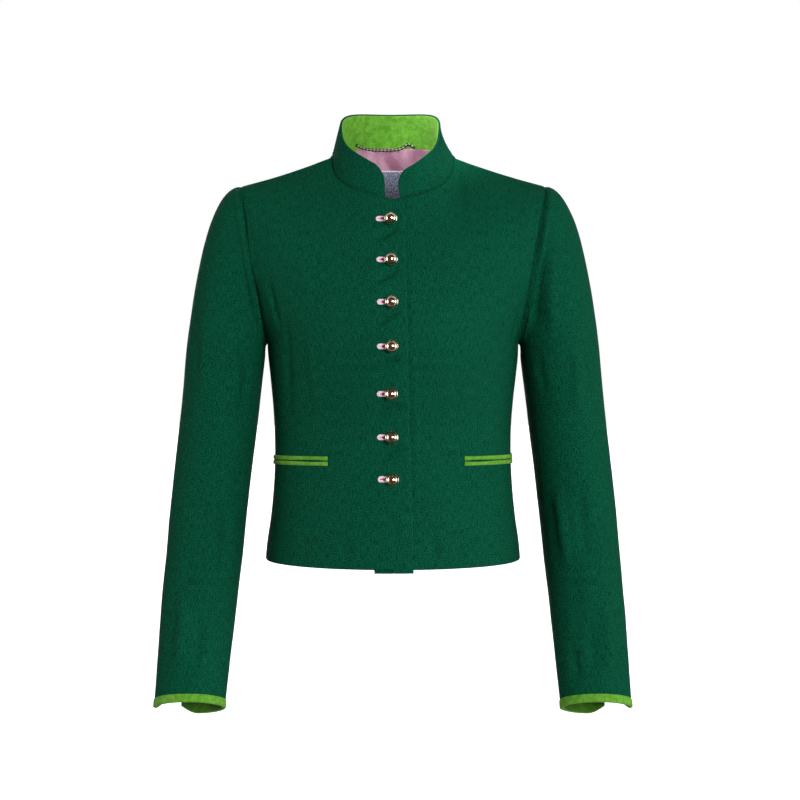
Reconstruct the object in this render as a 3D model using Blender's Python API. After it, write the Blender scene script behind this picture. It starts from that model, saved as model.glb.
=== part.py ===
# A short fitted folk jacket with a stand collar, filled out as if it were worn.
# Metres, +Z up, front towards -Y. The origin is at the middle of the neck's base,
# level with the points where the shoulder seams meet the collar.

import math
from collections import namedtuple

import bmesh
import bpy
from mathutils import Matrix, Vector

# Cloth
body_wall = 0.0020
sleeve_wall = 0.0016
facing_wall = 0.0014
lining_wall = 0.0010
label_wall = 0.0008
welt_wall = 0.0012
piece_gap = 0.0003
seam_pull = 0.00015
fold_pull = 0.0005
sides = ((-1, "right"), (1, "left"))

# Neck and shoulders
neck_half_width = 0.072
shoulder_tip = Vector((0.180, 0.004, -0.0345))
shoulder_sag = 0.0016
neck_part = 0.42
front_neck_round = 0.45
front_neck_power = 4
back_neck_power = 2.2

# Armhole and side seam
armhole_rows = 8
body_rows = 16
yoke_rows = 3
underarm = Vector((0.148, 0.0, -0.221))
hem_side_z = -0.473

# Front edges and fastening
under_edge_x = 0.021
top_edge_neck_x = 0.0125
top_edge_hem_x = 0.0238
lap_lift = 0.00125
lap_full_x = 0.030
lap_fade_x = 0.070
hem_lobe_drop = 0.004
hem_lobe_width = 0.0255
hem_lobe_fade = 0.003
ball_radius = 0.0072
ball_stand = 0.0004
ball_turns = 7
ball_steps = 12
shank_radius = 0.0011
slit_half_width = 0.0014
slit_start = -0.0150
slit_end = 0.0030
slit_arc_steps = 4
slit_cut_depth = 0.004

# Collar
collar_height = 0.0385
collar_top_half_width = 0.059
collar_top_middle = Vector((-0.003, -0.008, 0.0))
collar_top_half_depth = 0.058
collar_end_x = 0.0085
collar_corner = 0.0155
collar_corner_columns = [0.0085, 0.0105, 0.0130, 0.0165]
collar_top_level = 3.4
collar_lean = 0.002
collar_end_drop = 0.007
collar_end_skew = 0.0025
collar_drop_reach = 0.6
collar_bow = 0.0034
collar_steps = 4

# Sleeves
cap_steps = [0.0, 0.08, 0.2, 0.36, 0.56, 0.78, 1.0]
cap_lead = 0.56
arm_steps = 10
front_seam_column = 6
back_seam_column = 12
sleeve_columns = 16
front_seam_turn = math.radians(30)
back_seam_turn = math.radians(40)
vent_length = 0.050
vent_angle = math.radians(20)

# Cuff band
band_height = 0.010
band_proud = 0.0003
band_bevel = 0.0004
cuff_gap = 0.0012
facing_height = 0.028
vent_corner_width = 0.0220
vent_corner_height = 0.0092
vent_stations = [0.0, 0.25, 0.5, 0.75]

# Pockets
welt_height = 0.0048
pocket_upper_z = -0.3512
pocket_slit = 0.0011
pocket_outer_s = 0.93
welt_gap = 0.0004

# Label
label_half_width = 0.026
label_top_z = -0.009
label_height = 0.036
label_gap = 0.0005
label_columns = 4
label_rows = 3
lining_gap = 0.0009
lining_rows = 6
lining_columns = 7

# Hanger chain
chain_radius = 0.0011
chain_gap = 0.0006
chain_points = 25

# Limits of the shaping
longest_mitre = 1.39
same_place = 1e-5
halvings = 40
place_rounds = 4
small_step = 0.2
half_step = 0.5
near_centre = 0.1
edge_columns = 3
sharp_angle = math.radians(40)

Level = namedtuple("Level", "z size")
side_widths = [
    Level(-0.221, 0.1480),
    Level(-0.236, 0.1472),
    Level(-0.260, 0.1445),
    Level(-0.300, 0.1405),
    Level(-0.334, 0.1390),
    Level(-0.380, 0.1402),
    Level(-0.420, 0.1437),
    Level(-0.450, 0.1480),
    Level(-0.473, 0.1500),
]
front_depths = [
    Level(-0.0564, 0.070),
    Level(-0.110, 0.096),
    Level(-0.160, 0.116),
    Level(-0.215, 0.1255),
    Level(-0.270, 0.116),
    Level(-0.334, 0.1015),
    Level(-0.400, 0.105),
    Level(-0.480, 0.113),
]
back_depths = [
    Level(0.018, 0.062),
    Level(-0.030, 0.084),
    Level(-0.080, 0.099),
    Level(-0.130, 0.106),
    Level(-0.190, 0.106),
    Level(-0.250, 0.099),
    Level(-0.320, 0.088),
    Level(-0.380, 0.090),
    Level(-0.430, 0.099),
    Level(-0.468, 0.106),
]

# How the cloth leaves the neck and shoulder seam: degrees below level, and outwards from straight ahead
Slope = namedtuple("Slope", "s down outwards")
front_slopes = [
    Slope(0.0, 64, 0),
    Slope(0.2, 58, 24),
    Slope(0.42, 42, 38),
    Slope(0.7, 35, 12),
    Slope(1.0, 12, 0),
]
back_slopes = [
    Slope(0.0, 65, 0),
    Slope(0.2, 52, 26),
    Slope(0.42, 30, 42),
    Slope(0.7, 27, 12),
    Slope(1.0, 12, 0),
]

Half = namedtuple("Half", "out depths slopes armhole_depth neck_z under_z hem_z")
front = Half(-1, front_depths, front_slopes, 0.052, -0.0564, -0.222, -0.479)
back = Half(1, back_depths, back_slopes, 0.055, 0.018, -0.217, -0.468)

SleeveRing = namedtuple("SleeveRing", "z x y half_width half_depth")
sleeve_rings = [
    SleeveRing(-0.238, 0.1980, 0.0060, 0.0470, 0.0550),
    SleeveRing(-0.3, 0.2050, 0.0120, 0.0463, 0.0525),
    SleeveRing(-0.36, 0.2120, 0.0140, 0.0460, 0.0500),
    SleeveRing(-0.415, 0.2180, 0.0100, 0.0455, 0.0480),
    SleeveRing(-0.47, 0.2227, -0.0010, 0.0450, 0.0460),
    SleeveRing(-0.53, 0.2275, -0.0165, 0.0440, 0.0430),
    SleeveRing(-0.585, 0.2315, -0.0330, 0.0425, 0.0400),
    SleeveRing(-0.6335, 0.2345, -0.0490, 0.0413, 0.0375),
]

# Places seen from the front: the buttons' middles, and where the hanger chain passes
Stop = namedtuple("Stop", "x z")
button_stops = [
    Stop(-0.0028, -0.0797),
    Stop(-0.0018, -0.1276),
    Stop(-0.0010, -0.1763),
    Stop(-0.0009, -0.2264),
    Stop(-0.0013, -0.2798),
    Stop(-0.0010, -0.3290),
    Stop(-0.0002, -0.3770),
]
chain_stops = [
    Stop(-0.0434, 0.0188),
    Stop(-0.0362, 0.0160),
    Stop(-0.0254, 0.0144),
    Stop(-0.0097, 0.0142),
    Stop(0.0035, 0.0150),
    Stop(0.0119, 0.0174),
    Stop(0.0170, 0.0214),
    Stop(0.0213, 0.0206),
    Stop(0.0246, 0.0176),
]

Pocket = namedtuple("Pocket", "name side inner_x rise")
pockets = [Pocket("right", -1, 0.0742, 0.0), Pocket("left", 1, 0.0820, 0.0012)]

# Where columns of points run down a body panel, from the centre to the armhole and side seam
panel_columns = [0.13, 0.2, 0.275, 0.35, 0.42, 0.52, 0.62, 0.72, 0.82, 0.91, 1.0]
back_columns = [0.0, 0.1] + panel_columns[1:]
neck_columns = [0.13, 0.2, 0.275, 0.35]

Finish = namedtuple("Finish", "colour roughness metallic")
finishes = {
    "linen": Finish((0.006, 0.075, 0.042, 1), 0.85, 0),
    "felt": Finish((0.13, 0.38, 0.05, 1), 0.9, 0),
    "lining": Finish((0.68, 0.36, 0.47, 1), 0.6, 0),
    "label": Finish((0.16, 0.19, 0.25, 1), 0.7, 0),
    "button": Finish((0.42, 0.34, 0.22, 1), 0.3, 1),
    "chain": Finish((0.12, 0.11, 0.10, 1), 0.35, 1),
}


def clear_scene():
    for item in list(bpy.data.objects):
        bpy.data.objects.remove(item)


def mix(first, second, share):
    return first + (second - first) * share


def smooth(share):
    share = min(max(share, 0.0), 1.0)
    return share * share * (3 - 2 * share)


def through(knots, values, at):
    """A smooth curve through the values, each at its knot, read at one place."""
    last = len(knots) - 1
    at = min(max(at, knots[0]), knots[-1])
    k = max(i for i in range(last) if knots[i] <= at)

    def slope(i):
        before, after = max(i - 1, 0), min(i + 1, last)
        return (values[after] - values[before]) / (knots[after] - knots[before])

    span = knots[k + 1] - knots[k]
    return hermite(values[k], values[k + 1], slope(k) * span, slope(k + 1) * span, (at - knots[k]) / span)


def hermite(start, end, leave, arrive, u):
    """A cubic from start to end with its directions at both."""
    near = (1 + 2 * u) * (1 - u) ** 2
    return start * near + end * (1 - near) + leave * (u * (1 - u) ** 2) + arrive * (u * u * (u - 1))


def level_at(levels, z):
    return through([-row.z for row in levels], [row.size for row in levels], -z)


def leaving(half, s):
    """The way the cloth leaves the neck and shoulder seam at s."""
    knots = [row.s for row in half.slopes]
    down = math.radians(through(knots, [row.down for row in half.slopes], abs(s)))
    aside = math.radians(through(knots, [row.outwards for row in half.slopes], abs(s)))
    level = math.cos(down)
    x = math.copysign(level * math.sin(aside), s)
    return Vector((x, half.out * level * math.cos(aside), -math.sin(down)))


# The body's surface. s runs from the centre line, 0, to the armhole and side seam, 1, and is
# negative beyond the centre. t runs down: 0 at the neck and shoulder, 8 at the underarm, 16 at the hem.


def top_edge(s, half):
    """The neck seam up to neck_part, then the shoulder seam."""
    if s > neck_part:
        share = (s - neck_part) / (1 - neck_part)
        point = mix(Vector((neck_half_width, 0, 0)), shoulder_tip, share)
        point.z -= shoulder_sag * 4 * share * (1 - share)
        return point
    u = abs(s) / neck_part
    turn = math.radians(90) * s / neck_part
    if half is front:
        z = half.neck_z * (1 - mix(u, u**front_neck_power, front_neck_round))
    else:
        z = half.neck_z * (1 - u**back_neck_power)
    depth = half.out * level_at(half.depths, half.neck_z)
    return Vector((neck_half_width * math.sin(turn), depth * math.cos(turn), z))


def row_point(t, s, half):
    """A point of the rows below the yoke, each a part of an ellipse."""
    if t >= armhole_rows:
        share = (t - armhole_rows) / (body_rows - armhole_rows)
        centre_z = mix(half.under_z, half.hem_z, share)
        edge_z = mix(underarm.z, hem_side_z, share)
        depth = level_at(half.depths, centre_z)
        width = level_at(side_widths, edge_z)
        sweep = math.radians(90)
    else:
        turn = math.pi * t / armhole_rows
        fall = (1 - math.cos(turn)) / 2
        centre_z = mix(half.neck_z, half.under_z, (t / armhole_rows + fall) / 2)
        edge_z = mix(shoulder_tip.z, underarm.z, fall)
        depth = level_at(half.depths, centre_z)
        sweep = math.acos(half.armhole_depth * math.sin(turn) / depth)
        width = mix(shoulder_tip.x, underarm.x, fall) / math.sin(sweep)
    x = width * math.sin(s * sweep)
    y = half.out * depth * math.cos(s * sweep)
    return Vector((x, y, mix(centre_z, edge_z, s * s)))


def body_point(t, s, half):
    if t >= yoke_rows:
        return row_point(t, s, half)
    start = top_edge(s, half)
    end = row_point(yoke_rows, s, half)
    leave = leaving(half, s) * (end - start).length
    next_row = row_point(yoke_rows + half_step, s, half)
    arrive = (next_row - row_point(yoke_rows - half_step, s, half)) * yoke_rows
    return hermite(start, end, leave, arrive, t / yoke_rows)


def s_at_x(t, x, half):
    """The column that lies this far from the centre line, near it."""
    return near_centre * x / body_point(t, near_centre, half).x


def mirrored(point, side):
    return Vector((point.x * side, point.y, point.z))


def top_edge_x(t):
    return mix(top_edge_neck_x, top_edge_hem_x, t / body_rows)


def front_columns(t, side):
    """The right front, side -1, laps over the left one. Both have columns at both edges."""
    over, under = s_at_x(t, top_edge_x(t), front), s_at_x(t, under_edge_x, front)
    own, other = (over, under) if side < 0 else (under, over)
    return [-own, 0.0, other] + panel_columns


def lobe(x, own_edge, t):
    """How far the hem hangs lower beside a front's own edge."""
    beside = 1 - smooth((abs(x - own_edge) - hem_lobe_width) / hem_lobe_fade + 1)
    return hem_lobe_drop * beside * max(0.0, t - body_rows + 2) / 2


def front_grid(side):
    grid = []
    for t in range(body_rows + 1):
        row = [mirrored(body_point(t, s, front), side) for s in front_columns(t, side)]
        own_edge = row[0].x
        for point in row:
            point.z -= lobe(point.x, own_edge, t)
        grid.append(row)
    return grid


def back_grid(side):
    return [[mirrored(body_point(t, s, back), side) for s in back_columns] for t in range(body_rows + 1)]


# Sleeves. Columns run round the armhole from the shoulder tip by the front: 8 is at the underarm.


def armhole_point(column):
    column %= sleeve_columns
    if column <= armhole_rows:
        return body_point(column, 1.0, front)
    return body_point(sleeve_columns - column, 1.0, back)


def column_turn(column, v):
    """The angle of a column round the arm, from the outer side by the front. It twists down to the cuff."""
    turn = math.tau * column / sleeve_columns
    twist_down = smooth(v)
    to_front = twist_down * front_seam_turn
    to_back = twist_down * back_seam_turn
    share = ((column - back_seam_column) % sleeve_columns) / (
        sleeve_columns - back_seam_column + front_seam_column
    )
    if share <= 1:
        return turn + mix(to_back, to_front, share)
    under = (column - front_seam_column) / (back_seam_column - front_seam_column)
    return turn + mix(to_front, to_back, under)


def sleeve_ring(v):
    """The ring at v: 0 at the biceps, 1 at the cuff. Gives its middle, direction and half sizes."""
    knots = [-row.z for row in sleeve_rings]
    at = mix(knots[0], knots[-1], v)

    def column(name, place):
        return through(knots, [getattr(row, name) for row in sleeve_rings], place)

    middle = Vector((column("x", at), column("y", at), -at))
    step = 0.004
    low, high = max(at - step, knots[0]), min(at + step, knots[-1])
    along = Vector((column("x", high) - column("x", low), column("y", high) - column("y", low), low - high))
    return middle, along.normalized(), column("half_width", at), column("half_depth", at)


def ring_point(v, turn):
    middle, along, half_width, half_depth = sleeve_ring(v)
    forward = Vector((0, along.z, -along.y)).normalized()
    across = Vector((1, 0, 0))
    return middle + across * (half_width * math.cos(turn)) + forward * (half_depth * math.sin(turn))


def sleeve_length():
    return sleeve_rings[0].z - sleeve_rings[-1].z


def vent_open(v):
    """The angle by which each side of the back seam stands off it near the cuff."""
    return vent_angle * smooth(1 - (1 - v) * sleeve_length() / vent_length)


def sleeve_turn(column, v, first, last):
    """As column_turn, with a panel's back edge drawn away from the vent."""
    turn = column_turn(column, v)
    if first == back_seam_column:
        return turn + vent_open(v) * (1 - (column - first) / (last - first))
    return turn - vent_open(v) * (column - first) / (last - first)


def sleeve_column(column, first, last):
    start = armhole_point(column)
    end = ring_point(0, sleeve_turn(column, 0, first, last))
    reach = (end - start).length
    leave = Vector((1, 0, 0)) * (cap_lead * reach)
    arrive = sleeve_ring(0)[1] * reach
    points = [hermite(start, end, leave, arrive, u) for u in cap_steps]
    for k in range(1, arm_steps + 1):
        v = k / arm_steps
        points.append(ring_point(v, sleeve_turn(column, v, first, last)))
    return points


def sleeve_grid(side, first, last):
    columns = [sleeve_column(column, first, last) for column in range(first, last + 1)]
    return [[mirrored(column[k], side) for column in columns] for k in range(len(columns[0]))]


# Collar. Columns run round the neck from the wearer's right end by the back to the left end.


def collar_points(s, half, side):
    """The bottom and the top of the collar where it meets the neck seam at s, and its hollow between them."""
    bottom = mirrored(top_edge(s, half), side)
    u = s / neck_part
    turn = math.radians(90) * u
    across = side * collar_top_half_width * math.sin(turn)
    along = half.out * collar_top_half_depth * math.cos(turn)
    if half is front:
        drop = (collar_end_drop + side * collar_end_skew) * (1 - smooth(u / collar_drop_reach))
        z = bottom.z - side * collar_lean * math.sin(math.pi * u) - drop
    else:
        z = back.neck_z * (1 - u**collar_top_level)
    top = collar_top_middle + Vector((across, along, z + collar_height))
    return bottom, top, collar_bow * max(0.0, side * math.sin(turn)) ** 2


def collar_places(side):
    """Each collar column on one side as its place s and its half of the body, from the front end."""
    near = [s_at_x(0, x, front) for x in collar_corner_columns + [under_edge_x]]
    places = [(s, front) for s in near + neck_columns + [neck_part]]
    return places + [(s, back) for s in reversed(neck_columns[1:])] + [(back_columns[1], back)]


def collar_grid():
    right = [(s, half, -1) for s, half in collar_places(-1)]
    left = [(s, half, 1) for s, half in collar_places(1)]
    columns = []
    for s, half, side in right + [(0.0, back, 1)] + left[::-1]:
        bottom, top, bow = collar_points(s, half, side)
        from_end = abs(bottom.x) - collar_end_x if half is front else collar_corner
        inside = collar_corner - min(from_end, collar_corner)
        cut = collar_corner - math.sqrt(collar_corner**2 - inside**2)
        full = 1 - cut / (top.z - bottom.z)
        shares = [full * k / collar_steps for k in range(collar_steps + 1)]
        hollow = Vector((4 * bow, 0, 0))
        columns.append([mix(bottom, top, share) - hollow * (share * (1 - share)) for share in shares])
    return [[column[k] for column in columns] for k in range(collar_steps, -1, -1)]


# Walls from grids of points


def outward_sign(grid, middle_of):
    """1 where the order of the grid's rows and columns turns its faces outwards, otherwise -1."""
    r, c = len(grid) // 2, len(grid[0]) // 2
    normal = (grid[r + 1][c] - grid[r][c]).cross(grid[r][c + 1] - grid[r][c])
    return 1 if normal.dot(grid[r][c] - middle_of(grid[r][c])) > 0 else -1


def body_middle(point):
    return Vector((0, 0, point.z))


def sleeve_middle(side):
    def middle(point):
        v = (sleeve_rings[0].z - point.z) / sleeve_length()
        return mirrored(sleeve_ring(min(max(v, 0.0), 1.0))[0], side)

    return middle


def grid_normals(grid, sign):
    rows, columns = len(grid), len(grid[0])
    normals = [[Vector() for _ in range(columns)] for _ in range(rows)]
    for r in range(rows - 1):
        for c in range(columns - 1):
            falling = grid[r + 1][c + 1] - grid[r][c]
            rising = grid[r][c + 1] - grid[r + 1][c]
            normal = falling.cross(rising).normalized() * sign
            for i, j in ((r, c), (r, c + 1), (r + 1, c), (r + 1, c + 1)):
                normals[i][j] += normal
    return [[normal.normalized() for normal in row] for row in normals]


def place_key(point):
    return tuple(round(value / same_place) for value in point)


def joined_normals(grids, signs):
    """Every panel's normals, shared where panels meet and longer at a bend, so that walls mitre there."""
    own = {name: grid_normals(grid, signs[name]) for name, grid in grids.items()}
    shared = {}
    for name, grid in grids.items():
        for points, normals in zip(grid, own[name]):
            for point, normal in zip(points, normals):
                key = place_key(point)
                shared[key] = shared.get(key, Vector()) + normal
    joined = {}
    for name, grid in grids.items():
        joined[name] = []
        for points, normals in zip(grid, own[name]):
            row = []
            for point, normal in zip(points, normals):
                middle = shared[place_key(point)].normalized()
                row.append(middle * min(1 / middle.dot(normal), longest_mitre))
            joined[name].append(row)
    return joined


def moved(grid, normals, distance):
    return [[p - n * distance for p, n in zip(points, row)] for points, row in zip(grid, normals)]


def pulled(grid, model, normals, distances):
    """The grid with its edges drawn in from its seams, square to the normals there."""
    result = [[point.copy() for point in row] for row in grid]
    last_row, last_column = len(grid) - 1, len(grid[0]) - 1
    edges = {
        "top": [((0, c), (1, c)) for c in range(last_column + 1)],
        "bottom": [((last_row, c), (last_row - 1, c)) for c in range(last_column + 1)],
        "first": [((r, 0), (r, 1)) for r in range(last_row + 1)],
        "last": [((r, last_column), (r, last_column - 1)) for r in range(last_row + 1)],
    }
    for side, distance in distances.items():
        for (r, c), (i, j) in edges[side]:
            normal = normals[r][c].normalized()
            inward = model[i][j] - model[r][c]
            inward -= normal * inward.dot(normal)
            result[r][c] += inward.normalized() * distance
    return result


def solid_from(name, outer, inner, finish):
    """One closed body between two grids that face the same way."""
    rows, columns = len(outer), len(outer[0])
    mesh = bmesh.new()
    top = [[mesh.verts.new(point) for point in row] for row in outer]
    low = [[mesh.verts.new(point) for point in row] for row in inner]
    for r in range(rows - 1):
        for c in range(columns - 1):
            mesh.faces.new((top[r][c], top[r + 1][c], top[r + 1][c + 1], top[r][c + 1]))
            mesh.faces.new((low[r][c], low[r][c + 1], low[r + 1][c + 1], low[r + 1][c]))
    rim = [(0, c) for c in range(columns)] + [(r, columns - 1) for r in range(1, rows)]
    rim += [(rows - 1, c) for c in range(columns - 2, -1, -1)] + [(r, 0) for r in range(rows - 2, 0, -1)]
    for (r, c), (i, j) in zip(rim, rim[1:] + rim[:1]):
        mesh.faces.new((top[r][c], top[i][j], low[i][j], low[r][c]))
    bmesh.ops.recalc_face_normals(mesh, faces=mesh.faces)
    return add_object(name, mesh, finish)


def add_object(name, mesh, finish):
    data = bpy.data.meshes.new(name)
    mesh.to_mesh(data)
    mesh.free()
    data.shade_smooth()
    data.set_sharp_from_angle(angle=sharp_angle)
    data.materials.append(material(name, finish))
    item = bpy.data.objects.new(name, data)
    bpy.context.scene.collection.objects.link(item)
    return item


def material(name, finish):
    made = bpy.data.materials.new(name + "_" + finish)
    made.use_nodes = True
    shader = made.node_tree.nodes["Principled BSDF"]
    shader.inputs["Base Color"].default_value = finishes[finish].colour
    shader.inputs["Roughness"].default_value = finishes[finish].roughness
    shader.inputs["Metallic"].default_value = finishes[finish].metallic
    return made


def lap(grid, normals, side):
    """A front moved out by half the lap's step where it lies on top, side -1, or in where it lies below."""
    result = []
    for points, row in zip(grid, normals):
        lifted = []
        for point, normal in zip(points, row):
            share = smooth((lap_fade_x - point.x * side) / (lap_fade_x - lap_full_x))
            lifted.append(point - normal * (side * lap_lift * share))
        result.append(lifted)
    return result


def on_grid(grid, row, column):
    """The point at a place between rows and columns."""
    r, c = min(int(row), len(grid) - 2), min(int(column), len(grid[0]) - 2)
    left = mix(grid[r][c], grid[r + 1][c], row - r)
    right = mix(grid[r][c + 1], grid[r + 1][c + 1], row - r)
    return mix(left, right, column - c)


def halve(low, high, is_past):
    """The place between low and high from which is_past holds."""
    for _ in range(halvings):
        middle = (low + high) / 2
        if is_past(middle):
            high = middle
        else:
            low = middle
    return low


def place_at(grid, x, z, columns):
    """The row and column, between the grid's own, of the point at x and z, among the given columns."""
    first, last = columns
    column = (first + last) / 2
    for _ in range(place_rounds):
        row = halve(0, len(grid) - 1, lambda place: on_grid(grid, place, column).z < z)
        rises = on_grid(grid, row, last).x > on_grid(grid, row, first).x
        column = halve(first, last, lambda place: (on_grid(grid, row, place).x > x) == rises)
    return row, column


def row_at_z(grid, z, column):
    return halve(0, len(grid) - 1, lambda place: on_grid(grid, place, column).z < z)


# Small pieces


def turned_solid(name, profile, steps, place, axis, finish):
    """A closed body turned about its axis. The profile has radius and height, and ends on the axis."""
    mesh = bmesh.new()
    tip_low = mesh.verts.new((0, 0, profile[0][1]))
    tip_high = mesh.verts.new((0, 0, profile[-1][1]))
    rings = []
    for radius, height in profile[1:-1]:
        turns = [math.tau * k / steps for k in range(steps)]
        rings.append([mesh.verts.new((radius * math.cos(a), radius * math.sin(a), height)) for a in turns])
    for low, high in zip(rings, rings[1:]):
        for k in range(steps):
            n = (k + 1) % steps
            mesh.faces.new((low[k], low[n], high[n], high[k]))
    for k in range(steps):
        n = (k + 1) % steps
        mesh.faces.new((tip_low, rings[0][n], rings[0][k]))
        mesh.faces.new((tip_high, rings[-1][k], rings[-1][n]))
    frame = axis.to_track_quat("Z", "Y").to_matrix().to_4x4()
    bmesh.ops.transform(mesh, matrix=Matrix.Translation(place) @ frame, verts=mesh.verts)
    return add_object(name, mesh, finish)


def button_profile(tilt):
    """A ball on a shank that goes down through the slit, its axis tilted from square to the cloth."""
    foot = (piece_gap - 2 * lap_lift) / math.cos(tilt) + shank_radius * math.tan(tilt)
    middle = (ball_stand + ball_radius) / math.cos(tilt)
    neck = math.asin(shank_radius / ball_radius)
    profile = [(0, foot), (shank_radius, foot)]
    for k in range(ball_turns):
        angle = mix(neck, math.pi, k / ball_turns)
        profile.append((ball_radius * math.sin(angle), middle - ball_radius * math.cos(angle)))
    return profile + [(0, middle + ball_radius)]


def slit_cutter(name, place, axis, along, length):
    """A slot with round ends, longer than the wall, that cuts one buttonhole."""
    mesh = bmesh.new()
    up = axis.cross(along).normalized()
    ring = []
    for end, turn in ((length / 2, -90), (-length / 2, 90)):
        for k in range(slit_arc_steps + 1):
            angle = math.radians(turn + 180 * k / slit_arc_steps)
            ring.append((end + slit_half_width * math.cos(angle), slit_half_width * math.sin(angle)))
    levels = []
    for height in (-slit_cut_depth, slit_cut_depth):
        levels.append([mesh.verts.new(place + along * a + up * b + axis * height) for a, b in ring])
    mesh.faces.new(levels[0][::-1])
    mesh.faces.new(levels[1])
    for k in range(len(ring)):
        n = (k + 1) % len(ring)
        mesh.faces.new((levels[0][k], levels[0][n], levels[1][n], levels[1][k]))
    bmesh.ops.recalc_face_normals(mesh, faces=mesh.faces)
    cutter = add_object(name, mesh, "felt")
    cutter.hide_render = True
    cutter.display_type = "WIRE"
    return cutter


def add_fastening(panel, outer):
    """The seven buttons, and their slits in the top front."""
    near_edge = (0, edge_columns)
    for number, stop in enumerate(button_stops, 1):
        places = [place_at(outer, stop.x + x, stop.z, near_edge) for x in (slit_start, 0.0, slit_end)]
        inner, middle, end = [on_grid(outer, row, column) for row, column in places]
        row, column = places[1]
        down = on_grid(outer, row + small_step, column) - on_grid(outer, row - small_step, column)
        along = (end - inner).normalized()
        axis = down.cross(along).normalized()
        level = Vector((axis.x, axis.y, 0)).normalized()
        name = f"button_{number}"
        turned_solid(name, button_profile(level.angle(axis)), ball_steps, middle, level, "button")
        slot = slit_cutter(name + "_slit", (inner + end) / 2, level, along, (end - inner).length)
        cut = panel.modifiers.new(name + "_slit", "BOOLEAN")
        cut.operation = "DIFFERENCE"
        cut.solver = "EXACT"
        cut.object = slot


def add_pockets(grids, normals):
    for pocket in pockets:
        grid, normal = grids["front_" + pocket.name], normals["front_" + pocket.name]
        last = len(grid[0]) - 1
        outer = last - (1 - pocket_outer_s) / (1 - panel_columns[-2])
        for part, drop in (("upper", 0.0), ("lower", welt_height + pocket_slit)):
            top_z = pocket_upper_z - drop
            _, inner = place_at(grid, pocket.inner_x * pocket.side, top_z, (edge_columns, last))
            between = [c for c in range(last) if inner + small_step < c < outer - small_step]
            stations = [inner] + between + [outer]
            low, high = [], []
            for k in range(3):
                low.append([])
                high.append([])
                for column in stations:
                    lift = pocket.rise * (column - inner) / (outer - inner)
                    row = row_at_z(grid, top_z - welt_height * k / 2 + lift, column)
                    point = on_grid(grid, row, column)
                    out = on_grid(normal, row, column).normalized()
                    low[-1].append(point + out * welt_gap)
                    high[-1].append(point + out * (welt_gap + welt_wall))
            solid_from(f"pocket_welt_{part}_{pocket.name}", high, low, "felt")


def cuff_stations(columns):
    """Places along a panel's last row, closer together beside the vent, which is at the first column."""
    return vent_stations + [float(c) for c in range(1, columns)]


def cuff_sections(grid, normal, stations, vent_column, direction):
    """The band's outline at each station: down the outside, round the edge and up the inside."""
    last = len(grid) - 1
    leg = last - facing_height * arm_steps / sleeve_length()
    inner = -(sleeve_wall + cuff_gap + facing_wall)
    vent = on_grid(grid, last, vent_column)
    sections = []
    for column in stations:
        edge, top = on_grid(grid, last, column), on_grid(grid, leg, column)
        out = on_grid(normal, last, column).normalized()
        out_top = on_grid(normal, leg, column).normalized()
        inside = 1 - min((edge - vent).length / vent_corner_width, 1)
        height = band_height - vent_corner_height * (1 - math.cos(math.radians(90) * inside))
        low = edge + direction * height
        low_bevel = edge + direction * (height - band_bevel)
        start = edge + direction * piece_gap
        sections.append(
            [
                start + out * band_proud,
                low_bevel + out * band_proud,
                low + out * (band_proud - band_bevel),
                low + out * (inner + band_bevel),
                low_bevel + out * inner,
                top + out_top * inner,
                top + out_top * (inner + facing_wall),
                start + out * (inner + facing_wall),
            ]
        )
    return sections


def add_cuff_trim(grids, normals, side, side_name):
    """A band round the sleeve's end that turns in over its edge and faces the inside, open at the vent."""
    direction = mirrored(sleeve_ring(1)[1], side)
    sections = []
    for part in ("top", "under"):
        grid, normal = grids[f"sleeve_{part}_{side_name}"], normals[f"sleeve_{part}_{side_name}"]
        last = len(grid[0]) - 1
        stations = cuff_stations(len(grid[0]))
        if part == "under":
            stations = [last - place for place in stations[::-1]][1:]
        sections += cuff_sections(grid, normal, stations, 0 if part == "top" else last, direction)
    mesh = bmesh.new()
    rings = [[mesh.verts.new(point) for point in section] for section in sections]
    count = len(rings[0])
    for low, high in zip(rings, rings[1:]):
        for k in range(count):
            n = (k + 1) % count
            mesh.faces.new((low[k], low[n], high[n], high[k]))
    for ring in (rings[0], rings[-1]):
        mesh.faces.new((*ring[0:5], ring[7]))
        mesh.faces.new(ring[4:8])
    bmesh.ops.recalc_face_normals(mesh, faces=mesh.faces)
    add_object(f"cuff_trim_{side_name}", mesh, "felt")


def add_back_neck(grids, normals):
    """The lining where the neck shows it, and the label that lies on it."""
    reach = lining_columns
    grid, normal = [], []
    for r in range(lining_rows):
        grid.append(grids["back_right"][r][1:reach][::-1] + grids["back_left"][r][:reach])
        normal.append(normals["back_right"][r][1:reach][::-1] + normals["back_left"][r][:reach])
    edges = dict.fromkeys(("top", "bottom", "first", "last"), 2 * seam_pull)
    outer = pulled(moved(grid, normal, body_wall + lining_gap), grid, normal, edges)
    inner = pulled(moved(grid, normal, body_wall + lining_gap + lining_wall), grid, normal, edges)
    solid_from("lining_back", outer, inner, "lining")
    add_label(inner, normal)


def add_label(lining, normal):
    middle = len(lining[0]) // 2
    search = (middle - 5, middle + 5)
    low, high = [], []
    for r in range(label_rows + 1):
        low.append([])
        high.append([])
        for c in range(label_columns + 1):
            x = label_half_width * (2 * c / label_columns - 1)
            z = label_top_z - label_height * r / label_rows
            row, column = place_at(lining, x, z, search)
            out = on_grid(normal, row, column).normalized()
            point = on_grid(lining, row, column)
            low[-1].append(point - out * label_gap)
            high[-1].append(point - out * (label_gap + label_wall))
    solid_from("neck_label", high, low, "label")


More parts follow.
